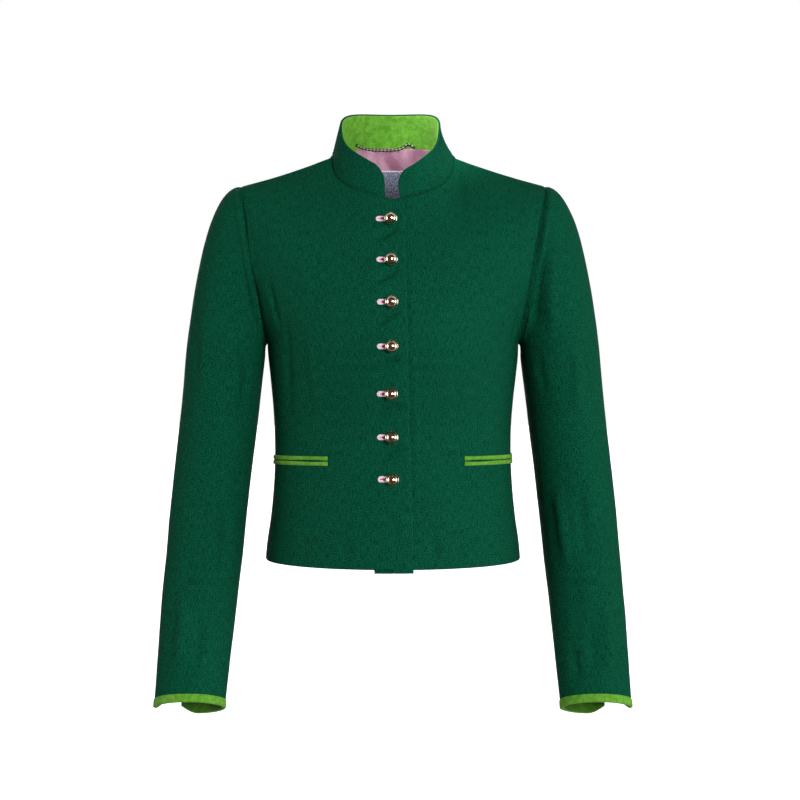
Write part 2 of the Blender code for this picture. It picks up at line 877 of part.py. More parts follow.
def add_chain(facing, normal):
    """The hanger, a closed tube along the chain's line, inside the collar facing at the back."""
    middle = len(facing[0]) // 2
    search = (middle - 4, middle + 4)
    route = []
    for stop in chain_stops:
        row, column = place_at(facing, stop.x, max(stop.z, facing[-1][middle].z), search)
        out = on_grid(normal, row, column).normalized()
        point = on_grid(facing, row, column) - out * (chain_radius + chain_gap)
        route.append(Vector((point.x, point.y, stop.z)))
    knots = list(range(len(route)))
    curve = bpy.data.curves.new("hanger_chain", "CURVE")
    curve.dimensions = "3D"
    curve.bevel_depth = chain_radius
    curve.bevel_resolution = 2
    curve.use_fill_caps = True
    spline = curve.splines.new("POLY")
    spline.points.add(chain_points - 1)
    for k in range(chain_points):
        spline.points[k].co = (*through(knots, route, knots[-1] * k / (chain_points - 1)), 1)
    curve.materials.append(material("hanger_chain", "chain"))
    item = bpy.data.objects.new("hanger_chain", curve)
    bpy.context.scene.collection.objects.link(item)


def panel_grids():
    """Each main panel's outer points, and the sign that turns its faces outwards."""
    grids = {"collar": collar_grid()}
    signs = {"collar": outward_sign(grids["collar"], body_middle)}
    for side, name in sides:
        under = sleeve_grid(side, front_seam_column, back_seam_column)
        grids["front_" + name] = front_grid(side)
        grids["back_" + name] = back_grid(side)
        grids["sleeve_top_" + name] = sleeve_grid(side, back_seam_column, sleeve_columns + front_seam_column)
        grids["sleeve_under_" + name] = under
        for part in ("front_", "back_"):
            signs[part + name] = outward_sign(grids[part + name], body_middle)
        for part in ("sleeve_top_", "sleeve_under_"):
            signs[part + name] = outward_sign(grids[part + name], sleeve_middle(side))
    return grids, signs


def edge_pulls(name):
    """How far a panel's edges draw back from its seams. The collar and sleeves leave more at a sharp fold."""
    pulls = dict.fromkeys(("top", "first", "last"), seam_pull)
    if name.startswith("sleeve"):
        pulls["top"] = fold_pull
    if name.startswith("collar"):
        pulls = {"bottom": fold_pull}
    return pulls


def build():
    clear_scene()
    grids, signs = panel_grids()
    normals = joined_normals(grids, signs)
    for name, grid in grids.items():
        outer = grid
        if name.startswith("front"):
            outer = lap(grid, normals[name], -1 if name == "front_right" else 1)
        inner = moved(outer, normals[name], sleeve_wall if name.startswith("sleeve") else body_wall)
        outer = pulled(outer, grid, normals[name], edge_pulls(name))
        inner = pulled(inner, grid, normals[name], edge_pulls(name))
        solid = solid_from(name, outer, inner, "linen")
        if name == "front_right":
            add_fastening(solid, outer)
    collar, along = grids["collar"], normals["collar"]
    facing_out = pulled(moved(collar, along, body_wall + piece_gap), collar, along, edge_pulls("collar"))
    facing_in = moved(facing_out, along, facing_wall)
    solid_from("collar_facing", facing_out, facing_in, "felt")
    add_pockets(grids, normals)
    for side, name in sides:
        add_cuff_trim(grids, normals, side, name)
    add_back_neck(grids, normals)
    add_chain(facing_in, along)


build()
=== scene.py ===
import functools
import math
from collections import namedtuple

import bmesh
import bpy
import numpy as np
from mathutils import Matrix, Vector, noise


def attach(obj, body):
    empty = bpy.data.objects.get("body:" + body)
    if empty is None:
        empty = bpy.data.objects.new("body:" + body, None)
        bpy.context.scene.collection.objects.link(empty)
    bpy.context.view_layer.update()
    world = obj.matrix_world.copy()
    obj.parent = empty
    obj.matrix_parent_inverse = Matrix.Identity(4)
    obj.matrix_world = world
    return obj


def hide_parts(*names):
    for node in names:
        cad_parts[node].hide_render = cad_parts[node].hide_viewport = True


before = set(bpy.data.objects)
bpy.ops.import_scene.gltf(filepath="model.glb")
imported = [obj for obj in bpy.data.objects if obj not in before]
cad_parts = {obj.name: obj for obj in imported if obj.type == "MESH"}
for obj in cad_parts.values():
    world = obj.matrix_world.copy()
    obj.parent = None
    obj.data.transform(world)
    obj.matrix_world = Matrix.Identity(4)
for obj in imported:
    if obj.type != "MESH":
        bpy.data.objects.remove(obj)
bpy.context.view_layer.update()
nodeNames = set(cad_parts)
print("frame:", len(nodeNames), "nodes")

# Camera: level with the waist, as far off as the photograph's straight sleeves ask for
camera = dict(x=0.0083, z=-0.2867, distance=2.6, lens=99.15, sensor=36.0)

# The body in metres, the same sizes as the solids have
body = dict(
    neckHalfWidth=0.072,
    shoulderTip=Vector((0.180, 0.004, -0.0345)),
    shoulderSag=0.0016,
    neckPart=0.42,
    frontNeckRound=0.45,
    frontNeckPower=4,
    backNeckPower=2.2,
    armholeRows=8,
    bodyRows=16,
    yokeRows=3,
    underarm=Vector((0.148, 0.0, -0.221)),
    hemSideZ=-0.473,
    underEdgeX=0.021,
    topEdgeNeckX=0.0125,
    topEdgeHemX=0.0238,
    lapLift=0.00125,
    lapFullX=0.030,
    lapFadeX=0.070,
    lobeDrop=0.004,
    lobeWidth=0.0255,
    lobeSoft=0.003,
)

Level = namedtuple("Level", "z size")
sideWidths = [
    Level(-0.221, 0.1480),
    Level(-0.236, 0.1472),
    Level(-0.260, 0.1445),
    Level(-0.300, 0.1405),
    Level(-0.334, 0.1390),
    Level(-0.380, 0.1402),
    Level(-0.420, 0.1437),
    Level(-0.450, 0.1480),
    Level(-0.473, 0.1500),
]
frontDepths = [
    Level(-0.0564, 0.070),
    Level(-0.110, 0.096),
    Level(-0.160, 0.116),
    Level(-0.215, 0.1255),
    Level(-0.270, 0.116),
    Level(-0.334, 0.1015),
    Level(-0.400, 0.105),
    Level(-0.480, 0.113),
]
backDepths = [
    Level(0.018, 0.062),
    Level(-0.030, 0.084),
    Level(-0.080, 0.099),
    Level(-0.130, 0.106),
    Level(-0.190, 0.106),
    Level(-0.250, 0.099),
    Level(-0.320, 0.088),
    Level(-0.380, 0.090),
    Level(-0.430, 0.099),
    Level(-0.468, 0.106),
]
Slope = namedtuple("Slope", "s down outwards")
frontSlopes = [
    Slope(0.0, 64, 0),
    Slope(0.2, 58, 24),
    Slope(0.42, 42, 38),
    Slope(0.7, 35, 12),
    Slope(1.0, 12, 0),
]
backSlopes = [
    Slope(0.0, 65, 0),
    Slope(0.2, 52, 26),
    Slope(0.42, 30, 42),
    Slope(0.7, 27, 12),
    Slope(1.0, 12, 0),
]
Half = namedtuple("Half", "out depths slopes armholeDepth neckZ underZ hemZ")
front = Half(-1, tuple(frontDepths), tuple(frontSlopes), 0.052, -0.0564, -0.222, -0.479)
back = Half(1, tuple(backDepths), tuple(backSlopes), 0.055, 0.018, -0.217, -0.468)

SleeveRing = namedtuple("SleeveRing", "z x y halfWidth halfDepth")
sleeveRings = [
    SleeveRing(-0.238, 0.1980, 0.0060, 0.0470, 0.0550),
    SleeveRing(-0.3, 0.2050, 0.0120, 0.0463, 0.0525),
    SleeveRing(-0.36, 0.2120, 0.0140, 0.0460, 0.0500),
    SleeveRing(-0.415, 0.2180, 0.0100, 0.0455, 0.0480),
    SleeveRing(-0.47, 0.2227, -0.0010, 0.0450, 0.0460),
    SleeveRing(-0.53, 0.2275, -0.0165, 0.0440, 0.0430),
    SleeveRing(-0.585, 0.2315, -0.0330, 0.0425, 0.0400),
    SleeveRing(-0.6335, 0.2345, -0.0490, 0.0413, 0.0375),
]
sleeve = dict(
    columns=16,
    frontSeam=6,
    backSeam=12,
    frontSeamTurn=math.radians(30),
    backSeamTurn=math.radians(40),
    ventLength=0.050,
    ventAngle=math.radians(20),
    capLead=0.56,
)
walls = dict(body=0.0020, sleeve=0.0016, facing=0.0014, lining=0.0010, gap=0.0003)
sides = {"right": -1, "left": 1}


def mix(first, second, share):
    return first + (second - first) * share


def smooth(share):
    share = min(max(share, 0.0), 1.0)
    return share * share * (3 - 2 * share)


def hermite(start, end, leave, arrive, u):
    near = (1 + 2 * u) * (1 - u) ** 2
    return start * near + end * (1 - near) + leave * (u * (1 - u) ** 2) + arrive * (u * u * (u - 1))


def through(knots, values, at):
    last = len(knots) - 1
    at = min(max(at, knots[0]), knots[-1])
    k = max(i for i in range(last) if knots[i] <= at)

    def slope(i):
        before, after = max(i - 1, 0), min(i + 1, last)
        return (values[after] - values[before]) / (knots[after] - knots[before])

    span = knots[k + 1] - knots[k]
    return hermite(values[k], values[k + 1], slope(k) * span, slope(k + 1) * span, (at - knots[k]) / span)


def levelAt(levels, z):
    return through([-row.z for row in levels], [row.size for row in levels], -z)


@functools.lru_cache(maxsize=None)
def rowShape(t, half):  # heights in the middle and at the side, depth, width and sweep
    if t >= body["armholeRows"]:
        share = (t - body["armholeRows"]) / (body["bodyRows"] - body["armholeRows"])
        centreZ = mix(half.underZ, half.hemZ, share)
        edgeZ = mix(body["underarm"].z, body["hemSideZ"], share)
        return centreZ, edgeZ, levelAt(half.depths, centreZ), levelAt(sideWidths, edgeZ), math.pi / 2
    turn = math.pi * t / body["armholeRows"]
    fall = (1 - math.cos(turn)) / 2
    centreZ = mix(half.neckZ, half.underZ, (t / body["armholeRows"] + fall) / 2)
    edgeZ = mix(body["shoulderTip"].z, body["underarm"].z, fall)
    depth = levelAt(half.depths, centreZ)
    sweep = math.acos(half.armholeDepth * math.sin(turn) / depth)
    width = mix(body["shoulderTip"].x, body["underarm"].x, fall) / math.sin(sweep)
    return centreZ, edgeZ, depth, width, sweep


def rowPoint(t, s, half):
    centreZ, edgeZ, depth, width, sweep = rowShape(t, half)
    x = width * math.sin(s * sweep)
    return Vector((x, half.out * depth * math.cos(s * sweep), mix(centreZ, edgeZ, s * s)))


@functools.lru_cache(maxsize=None)
def leaving(half, s):
    knots = [row.s for row in half.slopes]
    down = math.radians(through(knots, [row.down for row in half.slopes], abs(s)))
    aside = math.radians(through(knots, [row.outwards for row in half.slopes], abs(s)))
    level = math.cos(down)
    x, y = math.copysign(level * math.sin(aside), s), half.out * level * math.cos(aside)
    return Vector((x, y, -math.sin(down)))


def topEdge(s, half):
    neckPart = body["neckPart"]
    if s > neckPart:
        share = (s - neckPart) / (1 - neckPart)
        point = mix(Vector((body["neckHalfWidth"], 0, 0)), body["shoulderTip"], share)
        point.z -= body["shoulderSag"] * 4 * share * (1 - share)
        return point
    u = abs(s) / neckPart
    turn = math.pi / 2 * s / neckPart
    fall = u ** body["backNeckPower"]
    if half is front:
        fall = mix(u, u ** body["frontNeckPower"], body["frontNeckRound"])
    z = half.neckZ * (1 - fall)
    depth = half.out * levelAt(half.depths, half.neckZ)
    return Vector((body["neckHalfWidth"] * math.sin(turn), depth * math.cos(turn), z))


# s runs from the centre line, 0, to the armhole and side seam, 1
# t runs down: 0 at the neck and shoulder, 8 at the underarm, 16 at the hem
def bodyPoint(t, s, half):
    yoke = body["yokeRows"]
    if t >= yoke:
        return rowPoint(t, s, half)
    start, end = topEdge(s, half), rowPoint(yoke, s, half)
    leave = leaving(half, s) * (end - start).length
    arrive = (rowPoint(yoke + 0.5, s, half) - rowPoint(yoke - 0.5, s, half)) * yoke
    return hermite(start, end, leave, arrive, t / yoke)


def sAtX(t, x, half):
    near = 0.1
    return near * x / bodyPoint(t, near, half).x


def armholePoint(column):
    column %= sleeve["columns"]
    if column <= body["armholeRows"]:
        return bodyPoint(column, 1.0, front)
    return bodyPoint(sleeve["columns"] - column, 1.0, back)


def columnTurn(column, v):
    turn = math.tau * column / sleeve["columns"]
    toFront = smooth(v) * sleeve["frontSeamTurn"]
    toBack = smooth(v) * sleeve["backSeamTurn"]
    topSpan = sleeve["columns"] - sleeve["backSeam"] + sleeve["frontSeam"]
    share = ((column - sleeve["backSeam"]) % sleeve["columns"]) / topSpan
    if share <= 1:
        return turn + mix(toBack, toFront, share)
    under = (column - sleeve["frontSeam"]) / (sleeve["backSeam"] - sleeve["frontSeam"])
    return turn + mix(toFront, toBack, under)


@functools.lru_cache(maxsize=None)
def sleeveRing(v):
    knots = [-row.z for row in sleeveRings]
    at = mix(knots[0], knots[-1], v)

    def read(name, place):
        return through(knots, [getattr(row, name) for row in sleeveRings], place)

    middle = Vector((read("x", at), read("y", at), -at))
    low, high = max(at - 0.004, knots[0]), min(at + 0.004, knots[-1])
    across, forward = (read(name, high) - read(name, low) for name in ("x", "y"))
    along = Vector((across, forward, low - high)).normalized()
    forward = Vector((0, along.z, -along.y)).normalized()
    return middle, along, Vector((read("halfWidth", at), 0, 0)), forward * read("halfDepth", at)


def ringPoint(v, turn):
    middle, _, across, forward = sleeveRing(v)
    return middle + across * math.cos(turn) + forward * math.sin(turn)


sleeveLength = sleeveRings[0].z - sleeveRings[-1].z


# The angle round the arm of a column at v, 0 at the biceps and 1 at the cuff, the vent standing open
def sleeveTurn(column, v, first, last):
    turn = columnTurn(column, v)
    opening = sleeve["ventAngle"] * smooth(1 - (1 - v) * sleeveLength / sleeve["ventLength"])
    if first == sleeve["backSeam"]:
        return turn + opening * (1 - (column - first) / (last - first))
    return turn - opening * (column - first) / (last - first)


# Fine grids of points

nearEnds = (0, 1, 2.5, 5, 9)  # in units of the closest spacing


# Places from start to end about a step apart, closer together beside both ends
def spaced(start, end, step, near):
    close = [near * k for k in nearEnds]
    rest = np.linspace(start + close[-1], end - close[-1], max(2, round((end - start) / step)))
    return [start + c for c in close[:-1]] + list(rest) + [end - c for c in close[-2::-1]]


mesh = dict(rowStep=0.1, rowNear=0.010, columnStep=0.0118, columnNear=0.0013, armStep=0.0066, armNear=0.0008)
mesh.update(turnStep=0.125, turnNear=0.014, capSteps=66, capNear=0.0016)
pocket = dict(
    z=-0.3512,
    weltHeight=0.0048,
    slit=0.0011,
    outerS=0.93,
    outerX=0.1405,
    firstRow=12.86,
    lastRow=13.5,
    rowStep=0.02,
)


# Rows for both halves, with closer ones across the pockets
def bodyRowPlaces():
    rows = [t for t in spaced(0, body["bodyRows"], mesh["rowStep"], mesh["rowNear"])]
    rows = [t for t in rows if not pocket["firstRow"] <= t <= pocket["lastRow"]]
    return sorted(rows + list(np.arange(pocket["firstRow"], pocket["lastRow"], pocket["rowStep"])))


def frontGrid(side):
    grid = []
    shares = spaced(0, 1, mesh["columnStep"] * 0.9, mesh["columnNear"] * 0.9)
    for t in bodyRowPlaces():
        edgeX = body["underEdgeX"]
        if side < 0:
            edgeX = mix(body["topEdgeNeckX"], body["topEdgeHemX"], t / body["bodyRows"])
        first = -sAtX(t, edgeX, front)
        row = np.array([bodyPoint(t, mix(first, 1, share), front) for share in shares])
        row[:, 0] *= side
        beside = 1 - smoothed((np.abs(row[:, 0] - row[0, 0]) - body["lobeWidth"]) / body["lobeSoft"] + 1)
        row[:, 2] -= body["lobeDrop"] * beside * max(0.0, t - body["bodyRows"] + 2) / 2
        grid.append(row)
    return np.array(grid)


def backGrid(side):
    columns = spaced(0, 1, mesh["columnStep"], mesh["columnNear"])
    grid = np.array([[bodyPoint(t, s, back) for s in columns] for t in bodyRowPlaces()])
    grid[:, :, 0] *= side
    return grid


def sleeveGrid(side, first, last):
    capU = spaced(0, 1, 1 / mesh["capSteps"], mesh["capNear"])
    capU = [u for u in capU if u <= 1 - nearEnds[-1] * mesh["capNear"]] + [1.0]
    armV = spaced(0, 1, mesh["armStep"], mesh["armNear"])[1:]
    columns = []
    for column in spaced(first, last, mesh["turnStep"], mesh["turnNear"]):
        start, end = armholePoint(column), ringPoint(0, sleeveTurn(column, 0, first, last))
        reach = (end - start).length
        leave, arrive = Vector((sleeve["capLead"] * reach, 0, 0)), sleeveRing(0)[1] * reach
        points = [hermite(start, end, leave, arrive, u) for u in capU]
        columns.append(points + [ringPoint(v, sleeveTurn(column, v, first, last)) for v in armV])
    grid = np.array(columns).transpose(1, 0, 2)
    grid[:, :, 0] *= side
    return grid


def smoothed(share):
    share = np.clip(share, 0, 1)
    return share * share * (3 - 2 * share)


def unit(vectors):
    return vectors / np.maximum(np.linalg.norm(vectors, axis=-1, keepdims=True), 1e-12)


# Outward normals of a grid. middle gives a point inside it, level with its middle row
def normalsOf(points, middle):
    normals = unit(np.cross(np.gradient(points, axis=0), np.gradient(points, axis=1)))
    r, c = len(points) // 2, points.shape[1] // 2
    return normals if normals[r, c] @ (points[r, c] - np.array(middle(points[r, c]))) > 0 else -normals


def bodyMiddle(point):
    return (0, 0, point[2])


def sleeveMiddle(side):
    def middle(point):
        v = min(max((sleeveRings[0].z - point[2]) / sleeveLength, 0.0), 1.0)
        centre = sleeveRing(v)[0]
        return (centre.x * side, centre.y, centre.z)

    return middle


# How far along a row or column each point is
def walked(points, axis):
    steps = np.linalg.norm(np.diff(points, axis=axis), axis=2)
    start = np.zeros_like(np.take(steps, [0], axis=axis))
    return np.concatenate([start, np.cumsum(steps, axis=axis)], axis=axis)


# How far each point is from each edge of its panel
def fromEdges(points):
    along, down = walked(points, 1), walked(points, 0)
    return {"first": along, "last": along[:, -1:] - along, "top": down, "bottom": down[-1:] - down}


# Creases, placed where the photograph has them. A path is in the photograph's pixels.

photo = dict(size=800, pixel=0.00118)


# Where a pixel lies on the object at a depth y
def seenAt(px, py, y):
    scale = photo["pixel"] * (camera["distance"] + y) / camera["distance"]
    return camera["x"] + (px - photo["size"] / 2) * scale, camera["z"] - (py - photo["size"] / 2) * scale


Crease = namedtuple("Crease", "face path width depth")
# the face, three points of the path, then width and depth in millimetres, a ridge where the depth is negative
creaseRows = [
    # darts under the bust, through the pocket to the hem
    ("front", (309.5, 348), (310.5, 400), (311, 454), 1.6, 0.55),
    ("front", (311, 470), (311.5, 510), (312, 548), 1.6, 0.45),
    ("front", (478, 350), (477.5, 400), (476.5, 453), 1.6, 0.6),
    ("front", (476, 470), (475.5, 510), (475, 548), 1.6, 0.5),
    # drag from the armholes
    ("front", (266, 272), (272, 300), (282, 334), 5.5, 1.6),
    ("front", (276, 330), (284, 352), (291, 380), 7, 0.4),
    ("front", (524, 300), (518, 322), (508, 352), 5.5, 1),
    ("front", (303, 330), (306, 350), (309, 410), 8, 0.3),
    # pulls between the buttons
    ("front", (372, 242), (384, 236), (401, 228), 5, 2.6),
    ("front", (374, 286), (387, 277), (402, 269), 5.3, 2.7),
    ("front", (373, 331), (385, 321), (402, 311), 5, 2.3),
    ("front", (373, 374), (387, 366), (404, 356), 5.4, 2.2),
    ("front", (372, 421), (387, 411), (406, 403), 4.8, 2.5),
    ("front", (375, 464), (387, 456), (405, 446), 5.3, 2.6),
    # soft bands down the wearer's right chest
    ("front", (285, 300), (288, 360), (289, 432), 8, 0.9),
    ("front", (308, 322), (311, 362), (313, 404), 8, -0.8),
    ("front", (323, 206), (318, 260), (316, 312), 7, 0.5),
    ("front", (452, 350), (456, 392), (455, 440), 8.5, 0.6),
    ("front", (384, 500), (393, 520), (399, 552), 6, 0.7),
    # beside the top front's edge
    ("front", (405, 202), (408.5, 380), (413.5, 569), 1.3, 0.7),
    ("front", (411, 202), (414.5, 380), (419.5, 569), 2.4, -0.5),
    # the hem hangs in soft ripples
    ("front", (345, 528), (347, 548), (349, 569), 6.5, 1.1),
    ("front", (306, 534), (305, 550), (303, 567), 7.5, 0.8),
    ("front", (433, 520), (434, 545), (436, 569), 6.5, 1),
    ("front", (458, 535), (460, 550), (461, 568), 5.5, 0.7),
    ("front", (491, 530), (492, 548), (494, 566), 7, 0.8),
    # the back, as a worn one falls
    ("rear", (470, 300), (452, 340), (441, 392), 8, 1.2),
    ("rear", (322, 296), (338, 338), (349, 384), 8, 1),
    ("rear", (437, 400), (434, 420), (427, 438), 6, 0.8),
    ("rear", (362, 398), (365, 417), (372, 436), 6, 0.9),
    ("rear", (360, 528), (358, 547), (357, 566), 7.5, 1),
    ("rear", (330, 534), (327, 550), (325, 565), 6.5, 0.8),
    ("rear", (428, 526), (431, 546), (432, 566), 7, 1.1),
    ("rear", (474, 538), (477, 552), (479, 565), 6, 0.7),
    # long soft folds down the sleeves, right sleeve first
    ("right front", (246, 214), (252, 268), (254, 322), 6, -1.8),
    ("right front", (233, 330), (236, 380), (233, 425), 9, -2.2),
    ("right front", (206, 300), (203, 350), (203, 405), 8.5, -1.4),
    ("right front", (215, 480), (213, 530), (208, 585), 9, -2.3),
    ("right front", (228, 500), (226, 545), (219, 590), 8, 1.8),
    ("right front", (184, 580), (183, 630), (180, 676), 8.5, -2.2),
    ("right front", (201, 600), (200, 640), (197, 672), 8, 1.6),
    ("left front", (541, 240), (536, 290), (534, 340), 7, 1.8),
    ("left front", (553, 235), (550, 290), (552, 350), 9, -1.8),
    ("left front", (575, 340), (577, 380), (578, 420), 8.5, -1.6),
    ("left front", (556, 480), (563, 530), (568, 575), 9, -2.2),
    ("left front", (578, 480), (583, 530), (586, 575), 8, 1.6),
    ("left front", (602, 590), (606, 635), (608, 676), 8.5, -2),
    ("left front", (569, 640), (573, 658), (575, 680), 7, 1.8),
    ("left front", (587, 610), (590, 645), (592, 676), 8, 1.4),
    # elbows, right sleeve first
    ("right front", (203, 417), (221, 415), (240, 421), 3.2, 0.8),
    ("right front", (207, 428), (222, 430), (236, 427), 3, 0.6),
    ("right front", (200, 444), (219, 447), (243, 443), 3.6, 1.1),
    ("right front", (205, 461), (220, 459), (233, 463), 3, 0.6),
    ("right front", (196, 486), (209, 482), (226, 485), 3.4, 0.6),
    ("right front", (250, 352), (246, 380), (242, 404), 7, 0.9),
    ("right front", (197, 330), (200, 360), (198, 392), 8, 0.8),
    ("right front", (188, 520), (189, 560), (185, 600), 8, 0.8),
    ("right front", (214, 560), (209, 600), (205, 650), 8.5, 0.7),
    ("left front", (553, 446), (574, 441), (601, 435), 3.6, 1.2),
    ("left front", (556, 429), (572, 427), (590, 428), 3.2, 0.8),
    ("left front", (560, 418), (574, 415), (586, 416), 3, 0.5),
    ("left front", (562, 462), (578, 458), (592, 459), 3.2, 0.6),
    ("left front", (560, 492), (576, 488), (596, 490), 3.6, 0.7),
    ("left front", (536, 345), (541, 375), (545, 402), 7, 0.9),
    ("left front", (585, 332), (583, 364), (586, 398), 8, 0.7),
    ("left front", (590, 515), (594, 555), (597, 596), 8, 0.9),
    ("left front", (570, 560), (575, 600), (578, 646), 8.5, 0.7),
    ("right rear", (200, 428), (219, 433), (246, 430), 4.5, 1),
    ("right rear", (196, 455), (214, 460), (238, 457), 5, 1.2),
    ("right rear", (205, 250), (211, 290), (206, 335), 9, 1),
    ("right rear", (200, 520), (205, 556), (199, 600), 8, 0.9),
    ("left rear", (548, 433), (572, 429), (597, 434), 4.5, 1.2),
    ("left rear", (556, 464), (577, 459), (600, 461), 5, 0.9),
    ("left rear", (579, 262), (574, 300), (578, 342), 9, 0.9),
    ("left rear", (590, 514), (586, 552), (592, 598), 8, 1),
]
creases = [Crease(face, path, width / 1000, depth / 1000) for face, *path, width, depth in creaseRows]
creaseShape = dict(strength=1.8, spacing=0.004, reach=3.2, flank=0.75, fade=0.35)
drape = dict(size=0.055, depth=0.0006, fineSize=0.018, fineDepth=0.00012)


# Points of a crease on the cloth that it crosses
def creaseTrack(crease, panels):
    side = crease.face.split()[0] if " " in crease.face else ""
    facing = -1 if crease.face.endswith("front") else 1
    pieces = [p for name, p in panels.items() if ("sleeve" in name) == bool(side) and side in name]
    points = np.concatenate([p["points"].reshape(-1, 3) for p in pieces])
    normals = np.concatenate([p["normals"].reshape(-1, 3) for p in pieces])
    points = points[normals[:, 1] * facing > 0.05]
    corners = np.array([seenAt(px, py, np.median(points[:, 1])) for px, py in crease.path])
    walk = np.concatenate([[0], np.cumsum(np.linalg.norm(np.diff(corners, axis=0), axis=1))])
    count = max(3, round(walk[-1] / creaseShape["spacing"]))
    knots = list(range(len(corners)))
    track = []
    for k in range(count + 1):
        at = np.interp(walk[-1] * k / count, walk, knots)
        x, z = (through(knots, list(corners[:, i]), at) for i in (0, 1))
        track.append(points[np.argmin((points[:, 0] - x) ** 2 + (points[:, 2] - z) ** 2)])
    return np.array(track)


# How far each point moves out, or in where it is negative
def creaseRelief(points, tracks):
    flat = points.reshape(-1, 3)
    relief = np.zeros(len(flat))
    for crease, track in tracks:
        reach = crease.width * creaseShape["reach"]
        low, high = track.min(axis=0) - reach, track.max(axis=0) + reach
        close = np.flatnonzero(((flat > low) & (flat < high)).all(axis=1))
        if not len(close):
            continue
        best, along = np.full(len(close), np.inf), np.zeros(len(close))
        for k, (start, end) in enumerate(zip(track, track[1:])):
            step = end - start
            share = np.clip((flat[close] - start) @ step / max(step @ step, 1e-12), 0, 1)
            away = np.linalg.norm(flat[close] - start - share[:, None] * step, axis=1)
            nearer = away < best
            best[nearer], along[nearer] = away[nearer], (k + share[nearer]) / (len(track) - 1)
        q = (best / crease.width) ** 2
        ends = smoothed(np.minimum(along, 1 - along) / creaseShape["fade"])
        dip = creaseShape["strength"] * crease.depth * (1 - creaseShape["flank"] * q) * np.exp(-q)
        relief[close] -= dip * ends
    return relief.reshape(points.shape[:2])


# The slight unevenness of cloth that hangs
def drapeRelief(points):
    flat = [Vector(p) for p in points.reshape(-1, 3)]
    large = [noise.noise(p / drape["size"]) * drape["depth"] for p in flat]
    small = [noise.noise(p / drape["fineSize"] + Vector((7, 3, 1))) * drape["fineDepth"] for p in flat]
    return (np.array(large) + np.array(small)).reshape(points.shape[:2])


# Shells

edgeShape = dict(hemDepth=0.0008, hemWidth=0.0016)
# a seam sinks by depth within width, and its edge rises by roll at rollAt
Seam = namedtuple("Seam", "depth width roll rollAt")
seams = {
    "armhole": Seam(0.0026, 0.0050, 0.0000, 0.0040),
    "sleeveHead": Seam(0.0016, 0.0024, 0.0030, 0.0060),
    "neck": Seam(0.0010, 0.0024, 0.0003, 0.0035),
    "long": Seam(0.0003, 0.0012, 0.0000, 0.0030),
}


# Seams sink between two rolled edges, and free edges are rounded off
def edgeRelief(points, normals, kinds):
    away = fromEdges(points)
    outer, inner = np.zeros(points.shape[:2]), np.zeros(points.shape[:2])
    for edge, kind in kinds.items():
        if kind in seams:
            seam = seams[kind]
            upright = normals[:, :, 1] ** 2 if kind in ("armhole", "sleeveHead") else 1.0
            outer -= seam.depth * (0.25 + 0.75 * upright) * (1 - smoothed(away[edge] / seam.width))
            outer += seam.roll * upright * np.exp(-(((away[edge] - seam.rollAt) / seam.rollAt * 2) ** 2))
        else:
            share = 1 - smoothed(away[edge] / edgeShape["hemWidth"]) ** 0.5
            outer -= edgeShape["hemDepth"] * share
            inner += edgeShape["hemDepth"] * share
    return outer, inner


# A closed wall between two grids that face the same way. coats are its outer and inner materials
def shell(name, outer, inner, uv, coats):
    rows, columns = outer.shape[:2]
    count = rows * columns
    index = np.arange(count).reshape(rows, columns)
    top = np.stack([index[:-1, :-1], index[1:, :-1], index[1:, 1:], index[:-1, 1:]], -1).reshape(-1, 4)
    rim = np.concatenate([index[0], index[1:, -1], index[-1, -2::-1], index[-2:0:-1, 0]])
    turned = np.roll(rim, -1)
    wall = np.stack([rim, turned, turned + count, rim + count], -1)
    faces = np.concatenate([top, top[:, ::-1] + count, wall])
    r, k = rows // 2, columns // 2
    a, b, c = outer[r, k], outer[r + 1, k], outer[r, k + 1]
    if np.cross(b - a, c - a) @ (a - inner[rows // 2, columns // 2]) < 0:
        faces = faces[:, ::-1]
    made = bpy.data.meshes.new(name)
    corners = np.concatenate([outer.reshape(-1, 3), inner.reshape(-1, 3)])
    made.from_pydata(corners.tolist(), [], faces.tolist())
    layer = made.uv_layers.new(name="cut")
    places = np.concatenate([uv.reshape(-1, 2)] * 2)[faces.reshape(-1)]
    layer.data.foreach_set("uv", places.astype(np.float32).reshape(-1))
    for coat in coats:
        made.materials.append(coat)
    slots = np.zeros((2, rows - 1, columns - 1), np.int32)
    slots[1, seamAllowance:-seamAllowance, seamAllowance:-seamAllowance] = len(coats) - 1
    slots = np.concatenate([slots.reshape(-1), np.zeros(len(wall), np.int32)])
    made.polygons.foreach_set("material_index", slots)
    made.shade_smooth()
    made.set_sharp_from_angle(angle=math.radians(70))
    made.update()
    return addObject(name, made)


seamAllowance = 5  # faces beside an edge that show the outer cloth inside too


def addObject(name, made):
    item = bpy.data.objects.new(name, made)
    bpy.context.scene.collection.objects.link(item)
    return item


def fromBuild(name, build, sharpFrom, coats):
    made = bpy.data.meshes.new(name)
    build.to_mesh(made)
    build.free()
    made.shade_smooth()
    made.set_sharp_from_angle(angle=math.radians(sharpFrom))
    for coat in coats:
        made.materials.append(coat)
    return addObject(name, made)


# The place of each point on the flat cut, in metres
def uvOf(points):
    return np.stack([walked(points, 1), -walked(points, 0)], -1)


